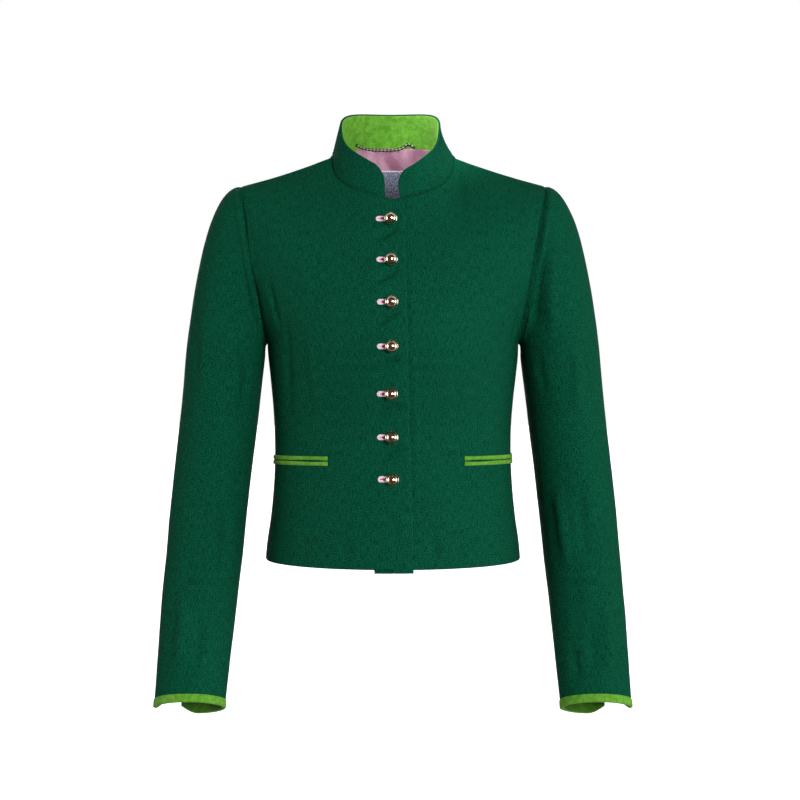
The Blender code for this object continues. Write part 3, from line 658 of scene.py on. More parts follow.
# The same for a main panel, so that threads run straight up from one of its rows and from one column.
# Above the row each point lies where its step from that row takes it, across and along the threads.
def threadUv(points, row, column):
    flat = points.copy()
    level = np.array((1.0, 1.0, 0.0)) if column is None else 1.0
    across = walked(flat * level, 1)
    start = np.argmin(np.abs(points[row, :, 0])) if column is None else column
    u = across - across[:, start : start + 1]
    v = -walked(points, 0) + walked(points, 0)[row : row + 1]
    tangents = unit(np.gradient(points[row] * level, axis=0))
    step = points[:row] - points[row]
    sideways = (step * tangents).sum(axis=2)
    u[:row] = u[row] + sideways
    v[:row] = np.sqrt(np.maximum((step**2).sum(axis=2) - sideways**2, 0))
    if column is None:
        v += points[row, :, 2]
    return np.stack([u, v], -1)


Cut = namedtuple("Cut", "width length area")


# Fixes a finished piece to the body, in the place of its solids
def finished(item, slot, *nodes, held="", restsOn=()):
    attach(item, "root")
    if nodes:
        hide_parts(*nodes)


# Materials

# An sRGB hex colour as linear RGBA
def linear(code):
    parts = [int(code[i : i + 2], 16) / 255 for i in (1, 3, 5)]
    return (*[c / 12.92 if c <= 0.04045 else ((c + 0.055) / 1.055) ** 2.4 for c in parts], 1)


# Adds one node. An input is a value or another node's socket, by name or by _number
def node(tree, kind, settings=None, stops=(), **inputs):
    made = tree.nodes.new(kind)
    for name, value in (settings or {}).items():
        setattr(made, name, value)
    for k, (place, code) in enumerate(stops):
        stop = made.color_ramp.elements[k] if k < 2 else made.color_ramp.elements.new(place)
        stop.position, stop.color = place, linear(code)
    for name, value in inputs.items():
        socket = made.inputs[int(name[1:])] if name[0] == "_" else made.inputs[name.replace("_", " ")]
        if isinstance(value, bpy.types.NodeSocket):
            tree.links.new(value, socket)
        else:
            socket.default_value = value
    return made


def newMaterial(name, colour, roughness, specular, **values):
    made = bpy.data.materials.new(name)
    made.use_nodes = True
    shader = made.node_tree.nodes["Principled BSDF"]
    shader.inputs["Base Color"].default_value = linear(colour)
    shader.inputs["Roughness"].default_value = roughness
    shader.inputs["Specular IOR Level"].default_value = specular
    for name, value in values.items():
        shader.inputs[name.replace("_", " ")].default_value = value
    return made, made.node_tree, shader


# Gives a material its colour and its relief
def coloured(tree, shader, colour, height, strength, depth):
    tree.links.new(colour, shader.inputs["Base Color"])
    bump = node(tree, "ShaderNodeBump", Height=height, Strength=strength, Distance=depth)
    tree.links.new(bump.outputs[0], shader.inputs["Normal"])


# The mapping scale at which one unit of a pattern is this wide and long, in metres
def perMetre(width, length):
    return (1 / width, 1 / length, 1 / width)


adding = {"operation": "MULTIPLY_ADD"}

linen = dict(
    thread=(0.0009, 0.0010),  # 0.6 mm in the real cloth, drawn coarser so that it shows
    slub=(0.0010, 0.009),
    weft=(0.006, 0.0012),
    cloud=(0.05, 0.08),
    dark="#002719",
    mid="#02442f",
    light="#0d6447",
    roughness=0.9,
    bump=0.0007,
)


# Linen in plain weave, piece dyed: matt and a little uneven, with thicker threads that run down the cloth
def linenCloth():
    made, tree, shader = newMaterial("dyedLinenPlainWeave", linen["mid"], linen["roughness"], 0.05)
    uv = node(tree, "ShaderNodeTexCoord").outputs["UV"]
    height = 0.0
    for size, share in (("slub", 0.20), ("weft", 0.08), ("thread", 0.70), ("cloud", 0.02)):
        place = node(tree, "ShaderNodeMapping", Vector=uv, Scale=perMetre(*linen[size])).outputs[0]
        spots = node(tree, "ShaderNodeTexNoise", Vector=place, Scale=1.0, Detail=2.0, Roughness=0.6)
        height = node(tree, "ShaderNodeMath", adding, _0=spots.outputs[0], _1=share, _2=height).outputs[0]
    stops = [(0.44, linen["dark"]), (0.5, linen["mid"]), (0.565, linen["light"])]
    colour = node(tree, "ShaderNodeValToRGB", stops=stops, Fac=height)
    coloured(tree, shader, colour.outputs[0], height, 0.5, linen["bump"])
    return made


# Real fibres are far finer than these 1.1 mm, which are drawn coarser so that they show
felt = dict(fibre=0.0011, tuft=0.006, sheen="#c3e68f", bump=0.0009)
# inside: the same felt painted darker, painted shade for the felt that lies inside the cuffs
felt.update(outside=("#47821e", "#5e9f2c", "#76b344"), inside=("#234a0c", "#315c14", "#3f6e1e"))


# Pressed wool felt: no weave, short fibres that lie every way and catch a soft light at the edges
def feltCloth(name, dark, mid, light):
    made, tree, shader = newMaterial(name, mid, 0.92, 0.15, Sheen_Weight=0.2, Sheen_Roughness=0.6)
    shader.inputs["Sheen Tint"].default_value = linear(felt["sheen"])
    place = node(tree, "ShaderNodeTexCoord").outputs["Object"]
    fine = dict(Scale=1 / felt["fibre"], Detail=3.0, Roughness=0.65)
    fibres = node(tree, "ShaderNodeTexNoise", Vector=place, **fine)
    tufts = node(tree, "ShaderNodeTexNoise", Vector=place, Scale=1 / felt["tuft"], Detail=2.0)
    both = node(tree, "ShaderNodeMix", Factor=0.4, _2=fibres.outputs[0], _3=tufts.outputs[0])
    stops = [(0.36, dark), (0.5, mid), (0.64, light)]
    colour = node(tree, "ShaderNodeValToRGB", stops=stops, Fac=both.outputs[0])
    coloured(tree, shader, colour.outputs[0], both.outputs[0], 0.7, felt["bump"])
    return made


# The twill's lines are 0.4 mm apart in the real cloth, drawn coarser
viscose = dict(twill=(0.0008, 0.003), cloud=(0.022, 0.05), dark="#9f6a86", light="#dba9c0", sheen="#f6d3e2")


# Viscose twill lining: thin and smooth, with a soft shine along its folds
def liningCloth():
    made, tree, shader = newMaterial("viscoseTwillLining", viscose["light"], 0.5, 0.3, Sheen_Weight=0.2)
    shader.inputs["Sheen Tint"].default_value = linear(viscose["sheen"])
    uv = node(tree, "ShaderNodeTexCoord").outputs["UV"]
    slant = dict(Scale=perMetre(*viscose["twill"]), Rotation=(0, 0, 0.5))
    place = node(tree, "ShaderNodeMapping", Vector=uv, **slant)
    twill = node(tree, "ShaderNodeTexNoise", Vector=place.outputs[0], Scale=1.0, Detail=1.0)
    place = node(tree, "ShaderNodeMapping", Vector=uv, Scale=perMetre(*viscose["cloud"]))
    cloud = node(tree, "ShaderNodeTexNoise", Vector=place.outputs[0], Scale=1.0, Detail=2.0)
    both = node(tree, "ShaderNodeMix", Factor=0.7, _2=twill.outputs[0], _3=cloud.outputs[0])
    stops = [(0.38, viscose["dark"]), (0.62, viscose["light"])]
    colour = node(tree, "ShaderNodeValToRGB", stops=stops, Fac=both.outputs[0])
    tree.links.new(colour.outputs[0], shader.inputs["Base Color"])
    return made


# The weave's marks are drawn several times coarser than real threads, so that they show
damask = dict(rib=(0.0032, 0.0013), warp=(0.0011, 0.0028), bump=0.0005, fold="#f2e6ec", foldZ=-0.0104)
damask.update(dark="#5a6386", mid="#8a93b0", light="#c4c3d2")


# Damask-woven label: close satin, mottled with threads of two shades
def labelCloth():
    made, tree, shader = newMaterial("damaskWovenLabel", damask["mid"], 0.6, 0.3, Sheen_Weight=0.15)
    uv = node(tree, "ShaderNodeTexCoord").outputs["UV"]
    height = 0.0
    for size in ("rib", "warp"):
        place = node(tree, "ShaderNodeMapping", Vector=uv, Scale=perMetre(*damask[size]))
        spots = node(tree, "ShaderNodeTexNoise", Vector=place.outputs[0], Scale=1.0, Detail=2.0)
        height = node(tree, "ShaderNodeMath", adding, _0=spots.outputs[0], _1=0.5, _2=height).outputs[0]
    stops = [(0.40, damask["dark"]), (0.5, damask["mid"]), (0.60, damask["light"])]
    colour = node(tree, "ShaderNodeValToRGB", stops=stops, Fac=height)
    # the folded top edge shows the paler back of the weave
    place = node(tree, "ShaderNodeSeparateXYZ", _0=node(tree, "ShaderNodeTexCoord").outputs["Object"])
    above = {"operation": "GREATER_THAN"}
    fold = node(tree, "ShaderNodeMath", above, _0=place.outputs["Z"], _1=damask["foldZ"]).outputs[0]
    pale, colours = linear(damask["fold"]), {"data_type": "RGBA"}
    colour = node(tree, "ShaderNodeMix", colours, _0=fold, _6=colour.outputs[0], _7=pale)
    coloured(tree, shader, colour.outputs[2], height, 0.5, damask["bump"])
    return made


silkStrand = 0.0007  # drawn coarser than a real ply


# Buttonhole silk: a twisted thread with a fine lustre
def threadSilk(name, dark, light):
    made, tree, shader = newMaterial(name, light, 0.42, 0.4, Sheen_Weight=0.2)
    place = node(tree, "ShaderNodeTexCoord").outputs["Object"]
    strands = node(tree, "ShaderNodeTexNoise", Vector=place, Scale=1 / silkStrand, Detail=2.0)
    colour = node(tree, "ShaderNodeValToRGB", stops=[(0.35, dark), (0.65, light)], Fac=strands.outputs[0])
    tree.links.new(colour.outputs[0], shader.inputs["Base Color"])
    return made


metal = dict(stain=0.004, scratch=0.0012, bump=0.0001)  # scratches drawn coarser than real ones


# Plated brass, tumbled: polished on the high places, darker where polish doesn't reach. On a chain, painted
# highlight and painted shade alternate from link to link instead.
def castMetal(name, dark, light, roughness, linked=False):
    made, tree, shader = newMaterial(name, light, roughness, 0.5, Metallic=0.5 if linked else 1.0)
    place = node(tree, "ShaderNodeTexCoord").outputs["Object"]
    patchy = dict(Scale=1 / metal["stain"], Detail=4.0, Roughness=0.6)
    stains = node(tree, "ShaderNodeTexNoise", Vector=place, **patchy)
    # on a chain every other link is painted bright and the rest near black: painted highlight and painted
    # shade for links that face the light and links seen edge-on
    stainsAndPaintedHighlight = node(tree, "ShaderNodeAttribute", {"attribute_name": "paintedHighlightLink"}) if linked else stains
    colour = node(tree, "ShaderNodeValToRGB", stops=[(0.3, dark), (0.62, light)], Fac=stainsAndPaintedHighlight.outputs["Fac"])
    scratches = node(tree, "ShaderNodeTexNoise", Vector=place, Scale=1 / metal["scratch"], Detail=3.0)
    gloss = node(tree, "ShaderNodeMapRange", _0=scratches.outputs[0], _3=roughness * 0.7, _4=roughness * 1.5)
    tree.links.new(gloss.outputs[0], shader.inputs["Roughness"])
    coloured(tree, shader, colour.outputs[0], scratches.outputs[0], 0.15, metal["bump"])
    return made


linenCoat = linenCloth()
feltCoat = feltCloth("pressedWoolFelt", *felt["outside"])
# the cuffs' felt inside the sleeve, painted darker as painted shade
feltPaintedShadeCoat = feltCloth("pressedWoolFeltPaintedShade", *felt["inside"])
liningCoat = liningCloth()
labelCoat = labelCloth()
pinkThread = threadSilk("buttonholeSilk", "#f3bfd8", "#fff1f7")
magentaThread = threadSilk("gimpSilk", "#a3155f", "#d4308a")
buttonMetal = castMetal("tumbledNickelPlate", "#a8947a", "#e2d8c6", 0.16)
# the chain's links alternate between a painted highlight and painted shade
chainMetal = castMetal("steelWirePaintedHighlightAndShade", "#070605", "#d2cfca", 0.35, linked=True)
print("materials: done")


# Main panels

collar = dict(
    height=0.0385,
    topHalfWidth=0.059,
    topMiddle=Vector((-0.003, -0.008, 0.0)),
    topHalfDepth=0.058,
    topLevel=3.4,
    lean=0.002,
    endDrop=0.007,
    endSkew=0.0025,
    dropReach=0.6,
    bow=0.0034,
    endX=0.0085,
    corner=0.0155,
    cornerSteps=14,
    columnStep=0.012,
    rows=16,
    rowNear=0.004,
)


def collarColumn(s, half, side, cut):
    bottom = topEdge(s, half)
    bottom.x *= side
    u = s / body["neckPart"]
    turn = math.pi / 2 * u
    x = side * collar["topHalfWidth"] * math.sin(turn)
    y = half.out * collar["topHalfDepth"] * math.cos(turn)
    if half is front:
        drop = (collar["endDrop"] + side * collar["endSkew"]) * (1 - smooth(u / collar["dropReach"]))
        z = bottom.z - side * collar["lean"] * math.sin(math.pi * u) - drop
    else:
        z = back.neckZ * (1 - u ** collar["topLevel"])
    top = collar["topMiddle"] + Vector((x, y, z + collar["height"]))
    full = 1 - cut / (top.z - bottom.z)
    shares = [full * share for share in spaced(0, 1, 1 / collar["rows"], collar["rowNear"])]
    hollow = Vector((4 * collar["bow"] * max(0.0, side * math.sin(turn)) ** 2, 0, 0))
    return [mix(bottom, top, share) - hollow * (share * (1 - share)) for share in shares]


# Columns from the wearer's right end by the back to the left end, rows from the top down
def collarGrid():
    places = []
    for k in range(collar["cornerSteps"] + 1):
        angle = math.pi / 2 * (1 - k / collar["cornerSteps"])
        x = collar["endX"] + collar["corner"] * (1 - math.sin(angle))
        places.append((sAtX(0, x, front), front, collar["corner"] * (1 - math.cos(angle))))
    step, end = collar["columnStep"], body["neckPart"]
    places += [(s, front, 0.0) for s in np.arange(places[-1][0] + step, end, step)]
    places += [(s, back, 0.0) for s in np.arange(end, step / 2, -step)]
    columns = [collarColumn(s, half, -1, cut) for s, half, cut in places]
    columns.append(collarColumn(0.0, back, 1, 0.0))
    columns += [collarColumn(s, half, 1, cut) for s, half, cut in places[::-1]]
    return np.array(columns).transpose(1, 0, 2)[::-1]


def allPanels():
    made = {"collar": dict(points=collarGrid(), middle=bodyMiddle, side=0)}
    topSpan = (sleeve["backSeam"], sleeve["columns"] + sleeve["frontSeam"])
    underSpan = (sleeve["frontSeam"], sleeve["backSeam"])
    for name, side in sides.items():
        made["front_" + name] = dict(points=frontGrid(side), middle=bodyMiddle, side=side)
        made["back_" + name] = dict(points=backGrid(side), middle=bodyMiddle, side=side)
        for part, span in (("sleeve_top_", topSpan), ("sleeve_under_", underSpan)):
            grid = sleeveGrid(side, *span)
            made[part + name] = dict(points=grid, middle=sleeveMiddle(side), side=side)
    for panel in made.values():
        panel["normals"] = normalsOf(panel["points"], panel["middle"])
    return made


join = dict(reach=0.003, fade=0.006, longest=1.39)
panelEdges = {"top": np.s_[0], "bottom": np.s_[-1], "first": np.s_[:, 0], "last": np.s_[:, -1]}


# Turns each panel's normals towards its neighbours' beside the seams, and lengthens them at a bend
def joinNormals(made):
    edges = {}
    for name, panel in made.items():
        for edge, cut in panelEdges.items():
            edges[name, edge] = panel["points"][cut], panel["normals"][cut]
    joined = {}
    for (name, edge), (points, own) in edges.items():
        others = [pair for (other, _), pair in edges.items() if other != name]
        places, normals = (np.concatenate([pair[i] for pair in others]) for i in (0, 1))
        away = np.linalg.norm(points[:, None] - places[None], axis=2)
        nearest = np.argmin(away, axis=1)
        middle = unit(own + normals[nearest])
        middle /= np.maximum((middle * own).sum(axis=1, keepdims=True), 1 / join["longest"])
        close = away.min(axis=1)[:, None] < join["reach"]
        joined[name, edge] = np.where(close, middle, own)
    for name, panel in made.items():
        turned = panel["normals"].copy()
        for edge, distance in fromEdges(panel["points"]).items():
            wanted = joined[name, edge]
            wanted = wanted[:, None] if edge in ("first", "last") else wanted[None]
            share = smoothed(distance / join["fade"])[:, :, None]
            turned = turned * share + wanted * (1 - share)
        panel["normals"] = turned


# The right front lies on the left one: each moves by half the step beside the centre line
def lapRelief(points, side):
    share = smoothed((body["lapFadeX"] - points[:, :, 0] * side) / (body["lapFadeX"] - body["lapFullX"]))
    return -side * body["lapLift"] * share


pocketPlaces = {"right": dict(innerX=0.0742, rise=0.0), "left": dict(innerX=0.0820, rise=0.0012)}
pocketMouth = dict(depth=0.0022, soft=0.0004)


# How far along its pocket each point is, 0 at the inner end and 1 at the side
def pocketShare(points, name):
    inner = pocketPlaces[name]["innerX"]
    outer = pocket["outerX"] * math.sin(pocket["outerS"] * math.pi / 2)
    return (np.abs(points[:, :, 0]) - inner) / (outer - inner)


# The mouth between the two welts goes in
def pocketRelief(points, name):
    share = pocketShare(points, name)
    middle = pocket["z"] - pocket["weltHeight"] - pocket["slit"] / 2 + pocketPlaces[name]["rise"] * share
    half = pocket["slit"] / 2
    mouth = 1 - smoothed((np.abs(points[:, :, 2] - middle) - half) / pocketMouth["soft"])
    return -pocketMouth["depth"] * mouth * (share > 0.02) * (share < 0.995)


edgeKinds = {
    "collar": dict(top="hem", first="hem", last="hem", bottom="neck"),
    "front": dict(top="neck", last="armhole", first="hem", bottom="hem"),
    "back": dict(top="neck", last="armhole", first="long", bottom="hem"),
    "sleeve": dict(top="sleeveHead", first="long", last="long"),
}

panels = allPanels()
joinNormals(panels)
tracks = [(crease, creaseTrack(crease, panels)) for crease in creases]
print("panels:", {name: panel["points"].shape[:2] for name, panel in panels.items()})
yokeRow = bodyRowPlaces().index(min(bodyRowPlaces(), key=lambda t: abs(t - body["yokeRows"])))
for name, panel in panels.items():
    points, normals = panel["points"], panel["normals"]
    part, sideName = name.split("_")[0], name.split("_")[-1]
    relief = creaseRelief(points, tracks) + drapeRelief(points)
    if part == "front":
        relief += lapRelief(points, panel["side"]) + pocketRelief(points, sideName)
    outerEdge, innerEdge = edgeRelief(points, normals, edgeKinds[part])
    wall = walls["sleeve"] if part == "sleeve" else walls["body"]
    coats = (linenCoat,) if part == "collar" else (linenCoat, liningCoat)
    outer = points + normals * (relief + outerEdge)[:, :, None]
    inner = points + normals * (relief - wall + innerEdge)[:, :, None]
    panel.update(outer=outer, inner=inner, relief=relief, innerEdge=innerEdge)
    if part == "sleeve":
        cap = points.shape[0] - len(spaced(0, 1, mesh["armStep"], mesh["armNear"]))
        uv = threadUv(points, cap, points.shape[1] // 2)
    elif part == "collar":
        uv = uvOf(points)
    else:
        uv = threadUv(points, yokeRow, None)
    item = shell(name + "_cloth", outer, inner, uv, coats)
    restsOn = ["front_right", "back_right"] if part == "collar" else []
    finished(item, "green_linen", name, held="stretched", restsOn=restsOn)
print("cloth panels: done")


# Collar facing

collarPoints, collarNormals = panels["collar"]["points"], panels["collar"]["normals"]
collarRelief, collarEdge = panels["collar"]["relief"], panels["collar"]["innerEdge"]
facingOff = walls["body"] + walls["gap"]
# round the back the linen's fold stands above the felt, and in front its seam hides the felt's lower edge
facingTrim = dict(top=0.0012, bottom=0.0012, start=-0.035, end=0.01, rounding=0.7)
heights = collarPoints[:, :, 2]
upward = (heights - heights[-1]) / (heights[0] - heights[-1])
behind = smoothed((collarPoints[:, :, 1] - facingTrim["start"]) / (facingTrim["end"] - facingTrim["start"]))
raised = facingTrim["bottom"] * (1 - upward) * (1 - behind) - facingTrim["top"] * upward * behind
facingPoints = collarPoints + np.array((0, 0, 1)) * raised[:, :, None]
facingOut = facingPoints + collarNormals * (collarRelief - facingOff)[:, :, None]
facingFar = collarRelief - facingOff - walls["facing"] + collarEdge * facingTrim["rounding"]
facingIn = facingPoints + collarNormals * facingFar[:, :, None]
item = shell("collar_facing_felt", facingOut, facingIn, uvOf(collarPoints), (feltCoat,))
finished(item, "lime_felt", "collar_facing", held="stretched", restsOn=["collar"])
print("collar: done")


# Cuff bands

cuff = dict(
    height=0.010,
    proud=0.0005,
    gap=0.0012,
    facingHeight=0.028,
    cornerWidth=0.0220,
    cornerHeight=0.0092,
    bulge=0.0005,
    roundness=0.0012,
    edgeSteps=6,
    legSteps=4,
    innerShare=0.8,
    innerDrop=0.0003,
)
cuffOutside = [(0.0003, 0.0), (0.0012, 0.6), (0.0030, 1.0), (0.0060, 1.0), (0.0084, 0.8)]


# The band's outline at each column of a sleeve's end: down the outside, round the edge and up the inside
def cuffSections(panel, direction, ventColumn):
    points, normals = panel["outer"], panel["normals"]
    down = walked(points, 0)
    sections = []
    vent = points[-1, ventColumn]
    depth = walls["sleeve"] + cuff["gap"] + walls["facing"]
    for c in range(points.shape[1]):
        leg = int(np.argmin(np.abs(down[-1, c] - down[:, c] - cuff["facingHeight"])))
        edge, out = points[-1, c], normals[-1, c]
        inside = 1 - min(np.linalg.norm(edge - vent) / cuff["cornerWidth"], 1)
        height = cuff["height"] - cuff["cornerHeight"] * (1 - math.cos(math.radians(90) * inside))
        share = height / cuff["height"]
        section = []
        for drop, bulge in cuffOutside:
            section.append(edge + direction * (drop * share) + out * (cuff["proud"] + cuff["bulge"] * bulge))
        turnedIn = cuff["roundness"] * share
        for k in range(1, cuff["edgeSteps"]):
            angle = math.pi * k / cuff["edgeSteps"]
            swing = mix(cuff["proud"] + cuff["bulge"] / 2, -depth, (1 - math.cos(angle)) / 2)
            section.append(edge + direction * (height - turnedIn * (1 - math.sin(angle))) + out * swing)
        section.append(edge + direction * (height * cuff["innerShare"]) - out * depth)
        section.append(edge - out * depth)
        last, steps = len(points) - 1, cuff["legSteps"]
        legRows = [last - (last - leg) * k // steps for k in range(1, steps + 1)]
        section += [points[row, c] - normals[row, c] * depth for row in legRows]
        section += [points[row, c] - normals[row, c] * (depth - walls["facing"]) for row in legRows[::-1]]
        section.append(edge - out * (depth - walls["facing"]) + direction * cuff["innerDrop"])
        sections.append(section)
    return sections


def addCuff(name, side):
    along = sleeveRing(1.0)[1]
    direction = np.array((along.x * side, along.y, along.z))
    sections = cuffSections(panels["sleeve_top_" + name], direction, 0)
    sections += cuffSections(panels["sleeve_under_" + name], direction, -1)[1:]
    rings = np.array(sections)
    count, size = rings.shape[:2]
    index = np.arange(count * size).reshape(count, size)
    following = np.roll(index, -1, axis=1)
    faces = np.stack([index[:-1], following[:-1], following[1:], index[1:]], -1).reshape(-1, 4).tolist()
    build = bmesh.new()
    verts = [build.verts.new(p) for p in rings.reshape(-1, 3)]
    for face in faces:
        build.faces.new([verts[i] for i in face])
    outside = len(cuffOutside) + cuff["edgeSteps"] + 1
    for ring in (index[0], index[-1]):
        build.faces.new([verts[i] for i in (*ring[:outside], ring[-1])])
        build.faces.new([verts[i] for i in ring[outside - 1 :]])
    bmesh.ops.recalc_face_normals(build, faces=build.faces)
    item = fromBuild(f"cuff_trim_{name}_felt", build, 60, (feltCoat, feltPaintedShadeCoat))
    column = np.tile(np.arange(size), count - 1)
    slots = np.zeros(len(item.data.polygons), np.int32)
    inward = outside - 3  # from this face on the felt lies inside the sleeve
    # these faces take the darker felt, painted shade inside the sleeve
    slots[: len(column)] = (column >= inward) & (column < size - 1)
    item.data.polygons.foreach_set("material_index", slots)
    restsOn = ["sleeve_top_" + name, "sleeve_under_" + name]
    finished(item, "lime_felt", "cuff_trim_" + name, held="stretched", restsOn=restsOn)


for name, side in sides.items():
    addCuff(name, side)
print("cuffs: done")


# Pocket welts

welt = dict(
    lift=0.0004,
    rim=0.00054,
    body=0.00048,
    crown=0.0006,
    steps=48,
    rows=9,
    gape=0.0006,
    gapeTurn=0.3,
    endSteps=1.6,
    endShare=0.45,
)


# The row and column, between the grid's own, of the point at x and z
def gridPlace(grid, x, z):
    away = (grid[:, :, 0] - x) ** 2 + (grid[:, :, 2] - z) ** 2
    r, c = np.unravel_index(np.argmin(away), away.shape)
    r, c = min(max(r, 1), grid.shape[0] - 2), min(max(c, 1), grid.shape[1] - 2)
    down, across = (grid[r + 1, c] - grid[r - 1, c]) / 2, (grid[r, c + 1] - grid[r, c - 1]) / 2
    want = np.array((x, z)) - grid[r, c][[0, 2]]
    share = np.linalg.solve(np.array([down[[0, 2]], across[[0, 2]]]).T, want)
    return r + float(np.clip(share[0], -1, 1)), c + float(np.clip(share[1], -1, 1))


def onGrid(grid, row, column):
    r, c = min(int(row), grid.shape[0] - 2), min(int(column), grid.shape[1] - 2)
    left = mix(grid[r, c], grid[r + 1, c], row - r)
    return mix(left, mix(grid[r, c + 1], grid[r + 1, c + 1], row - r), column - c)


# The cloth's point at x and z, and the way out of it
def clothAt(grid, normals, x, z):
    row, column = gridPlace(grid, x, z)
    return onGrid(grid, row, column), unit(onGrid(normals, row, column))


def addWelt(name, part, side):
    panel = panels["front_" + name]
    closed = panel["relief"] - pocketRelief(panel["points"], name)
    smoothBase = panel["points"] + panel["normals"] * closed[:, :, None]
    place = pocketPlaces[name]
    reach = pocket["outerX"]
    inner, outer = math.asin(place["innerX"] / reach), pocket["outerS"] * math.pi / 2
    top = pocket["z"] - (0.0 if part == "upper" else pocket["weltHeight"] + pocket["slit"])
    low, high = [], []
    for k in range(welt["rows"]):
        v = k / (welt["rows"] - 1)
        lowRow, highRow = [], []
        for i in range(welt["steps"] + 1):
            share = i / welt["steps"]
            x = reach * math.sin(mix(inner, outer, share)) * side
            gape = welt["gape"] * max(0.0, math.sin(share * math.tau + welt["gapeTurn"])) ** 2
            inward = v if part == "upper" else 1 - v
            slip = gape * inward * (1 if part == "upper" else -1)
            z = top - pocket["weltHeight"] * v + place["rise"] * share + slip
            point, out = clothAt(smoothBase, panel["normals"], x, z)
            crown = welt["body"] + welt["crown"] * math.sin(math.pi * v) ** 0.5 if 0 < v < 1 else 0.0
            fromEnd = min(share, 1 - share) * welt["steps"] / welt["endSteps"]
            endRound = mix(welt["endShare"], 1, smooth(fromEnd))
            lowRow.append(point + out * (welt["lift"] / 2))
            highRow.append(point + out * (welt["lift"] + (welt["rim"] + crown) * endRound))
        low.append(lowRow)
        high.append(highRow)
    low, high = np.array(low), np.array(high)
    item = shell(f"pocket_welt_{part}_{name}_felt", high, low, uvOf(high), (feltCoat,))
    finished(item, "lime_felt", f"pocket_welt_{part}_{name}")


for name, side in sides.items():
    for part in ("upper", "lower"):
        addWelt(name, part, side)
print("pockets: done")


# Lining and label inside the back of the neck

lining = dict(reach=0.42, rows=5.0, gap=0.0009, pleatDepth=0.00198, fade=0.01, fadeStart=2.4)
lining.update(columnStep=0.010, columnNear=0.0015, rowStep=0.09, rowNear=0.01)
Pleat = namedtuple("Pleat", "x width depth")
pleats = [
    Pleat(-0.0310, 0.0045, 0.7),
    Pleat(-0.0165, 0.0030, 1.0),
    Pleat(0.0010, 0.0050, 0.6),
    Pleat(0.0105, 0.0026, 1.0),
    Pleat(0.0235, 0.0038, 0.8),
    Pleat(0.0410, 0.0050, 0.5),
]


def pleatRelief(points):
    relief = np.zeros(points.shape[:2])
    for pleat in pleats:
        away = (points[:, :, 0] - pleat.x) / pleat.width
        relief += lining["pleatDepth"] * pleat.depth * np.exp(-(away**2))
    return relief * smoothed(-points[:, :, 2] / lining["fade"] + lining["fadeStart"])


columns = spaced(-lining["reach"], lining["reach"], lining["columnStep"], lining["columnNear"])
rows = spaced(0, lining["rows"], lining["rowStep"], lining["rowNear"])
liningPoints = np.array([[bodyPoint(t, s, back) for s in columns] for t in rows])
liningNormals = normalsOf(liningPoints, bodyMiddle)
inset = walls["body"] + lining["gap"]
fall = inset + walls["lining"] + pleatRelief(liningPoints)
liningOut = liningPoints - liningNormals * inset
liningIn = liningPoints - liningNormals * fall[:, :, None]
item = shell("lining_back_cloth", liningOut, liningIn, uvOf(liningPoints), (liningCoat,))
finished(item, "pink_lining", "lining_back", held="hung", restsOn=["collar_facing"])

label = dict(halfWidth=0.026, topZ=-0.009, height=0.036, gap=0.0005, columns=40, rows=28)
label.update(thickness=0.0008, rim=0.6)


def addLabel():
    low, high = [], []
    for r in range(label["rows"] + 1):
        z = label["topZ"] - label["height"] * r / label["rows"]
        lowRow, highRow = [], []
        for c in range(label["columns"] + 1):
            x = label["halfWidth"] * (2 * c / label["columns"] - 1)
            point, out = clothAt(liningIn, liningNormals, x, z)
            inside = min(r, label["rows"] - r, c, label["columns"] - c) > 0
            lowRow.append(point - out * label["gap"])
            thickness = label["thickness"] * (1 if inside else label["rim"])
            highRow.append(point - out * (label["gap"] + thickness))
        low.append(lowRow)
        high.append(highRow)
    low, high = np.array(low), np.array(high)
    item = shell("neck_label_weave", high, low, uvOf(high), (labelCoat,))
    finished(item, "woven_label", "neck_label", held="hung", restsOn=["lining_back"])


addLabel()
print("lining and label: done")


# Buttons

button = dict(
    radius=0.0072,
    ball=0.0067,
    stand=0.0004,
    foot=0.0003,
    shank=0.0011,
    seam=0.00035,
    seamReach=0.00056,
    lip=0.0001,
    steps=48,
    lowSteps=10,
    highSteps=12,
)

Stop = namedtuple("Stop", "x z")
buttonStops = [
    Stop(-0.0028, -0.0797),
    Stop(-0.0018, -0.1276),
    Stop(-0.0010, -0.1763),
    Stop(-0.0009, -0.2264),
    Stop(-0.0013, -0.2798),
    Stop(-0.0010, -0.3290),
    Stop(-0.0002, -0.3770),
]


# From the foot of the shank round the lower half, the soldered seam and the upper half
def buttonProfile(tilt):
    middle = (button["stand"] + button["radius"]) / math.cos(tilt)
    neck = math.asin(button["shank"] / button["ball"])
    foot = button["foot"] - 2 * body["lapLift"]
    edge = math.acos(button["seamReach"] / button["ball"])
    low, high = button["lowSteps"], button["highSteps"]

    def onBall(angle):
        return button["ball"] * math.sin(angle), middle - button["ball"] * math.cos(angle)

    profile = [(0, foot), (button["shank"], foot)]
    profile += [onBall(mix(neck, edge, k / low)) for k in range(low + 1)]
    for share in (-1, -0.5, 0.5, 1):
        inset = button["lip"] if abs(share) == 1 else 0.0
        profile.append((button["radius"] - inset, middle + button["seam"] * share))
    profile += [onBall(mix(math.pi - edge, math.pi, k / high)) for k in range(high)]
    return profile + [(0, middle + button["ball"])]


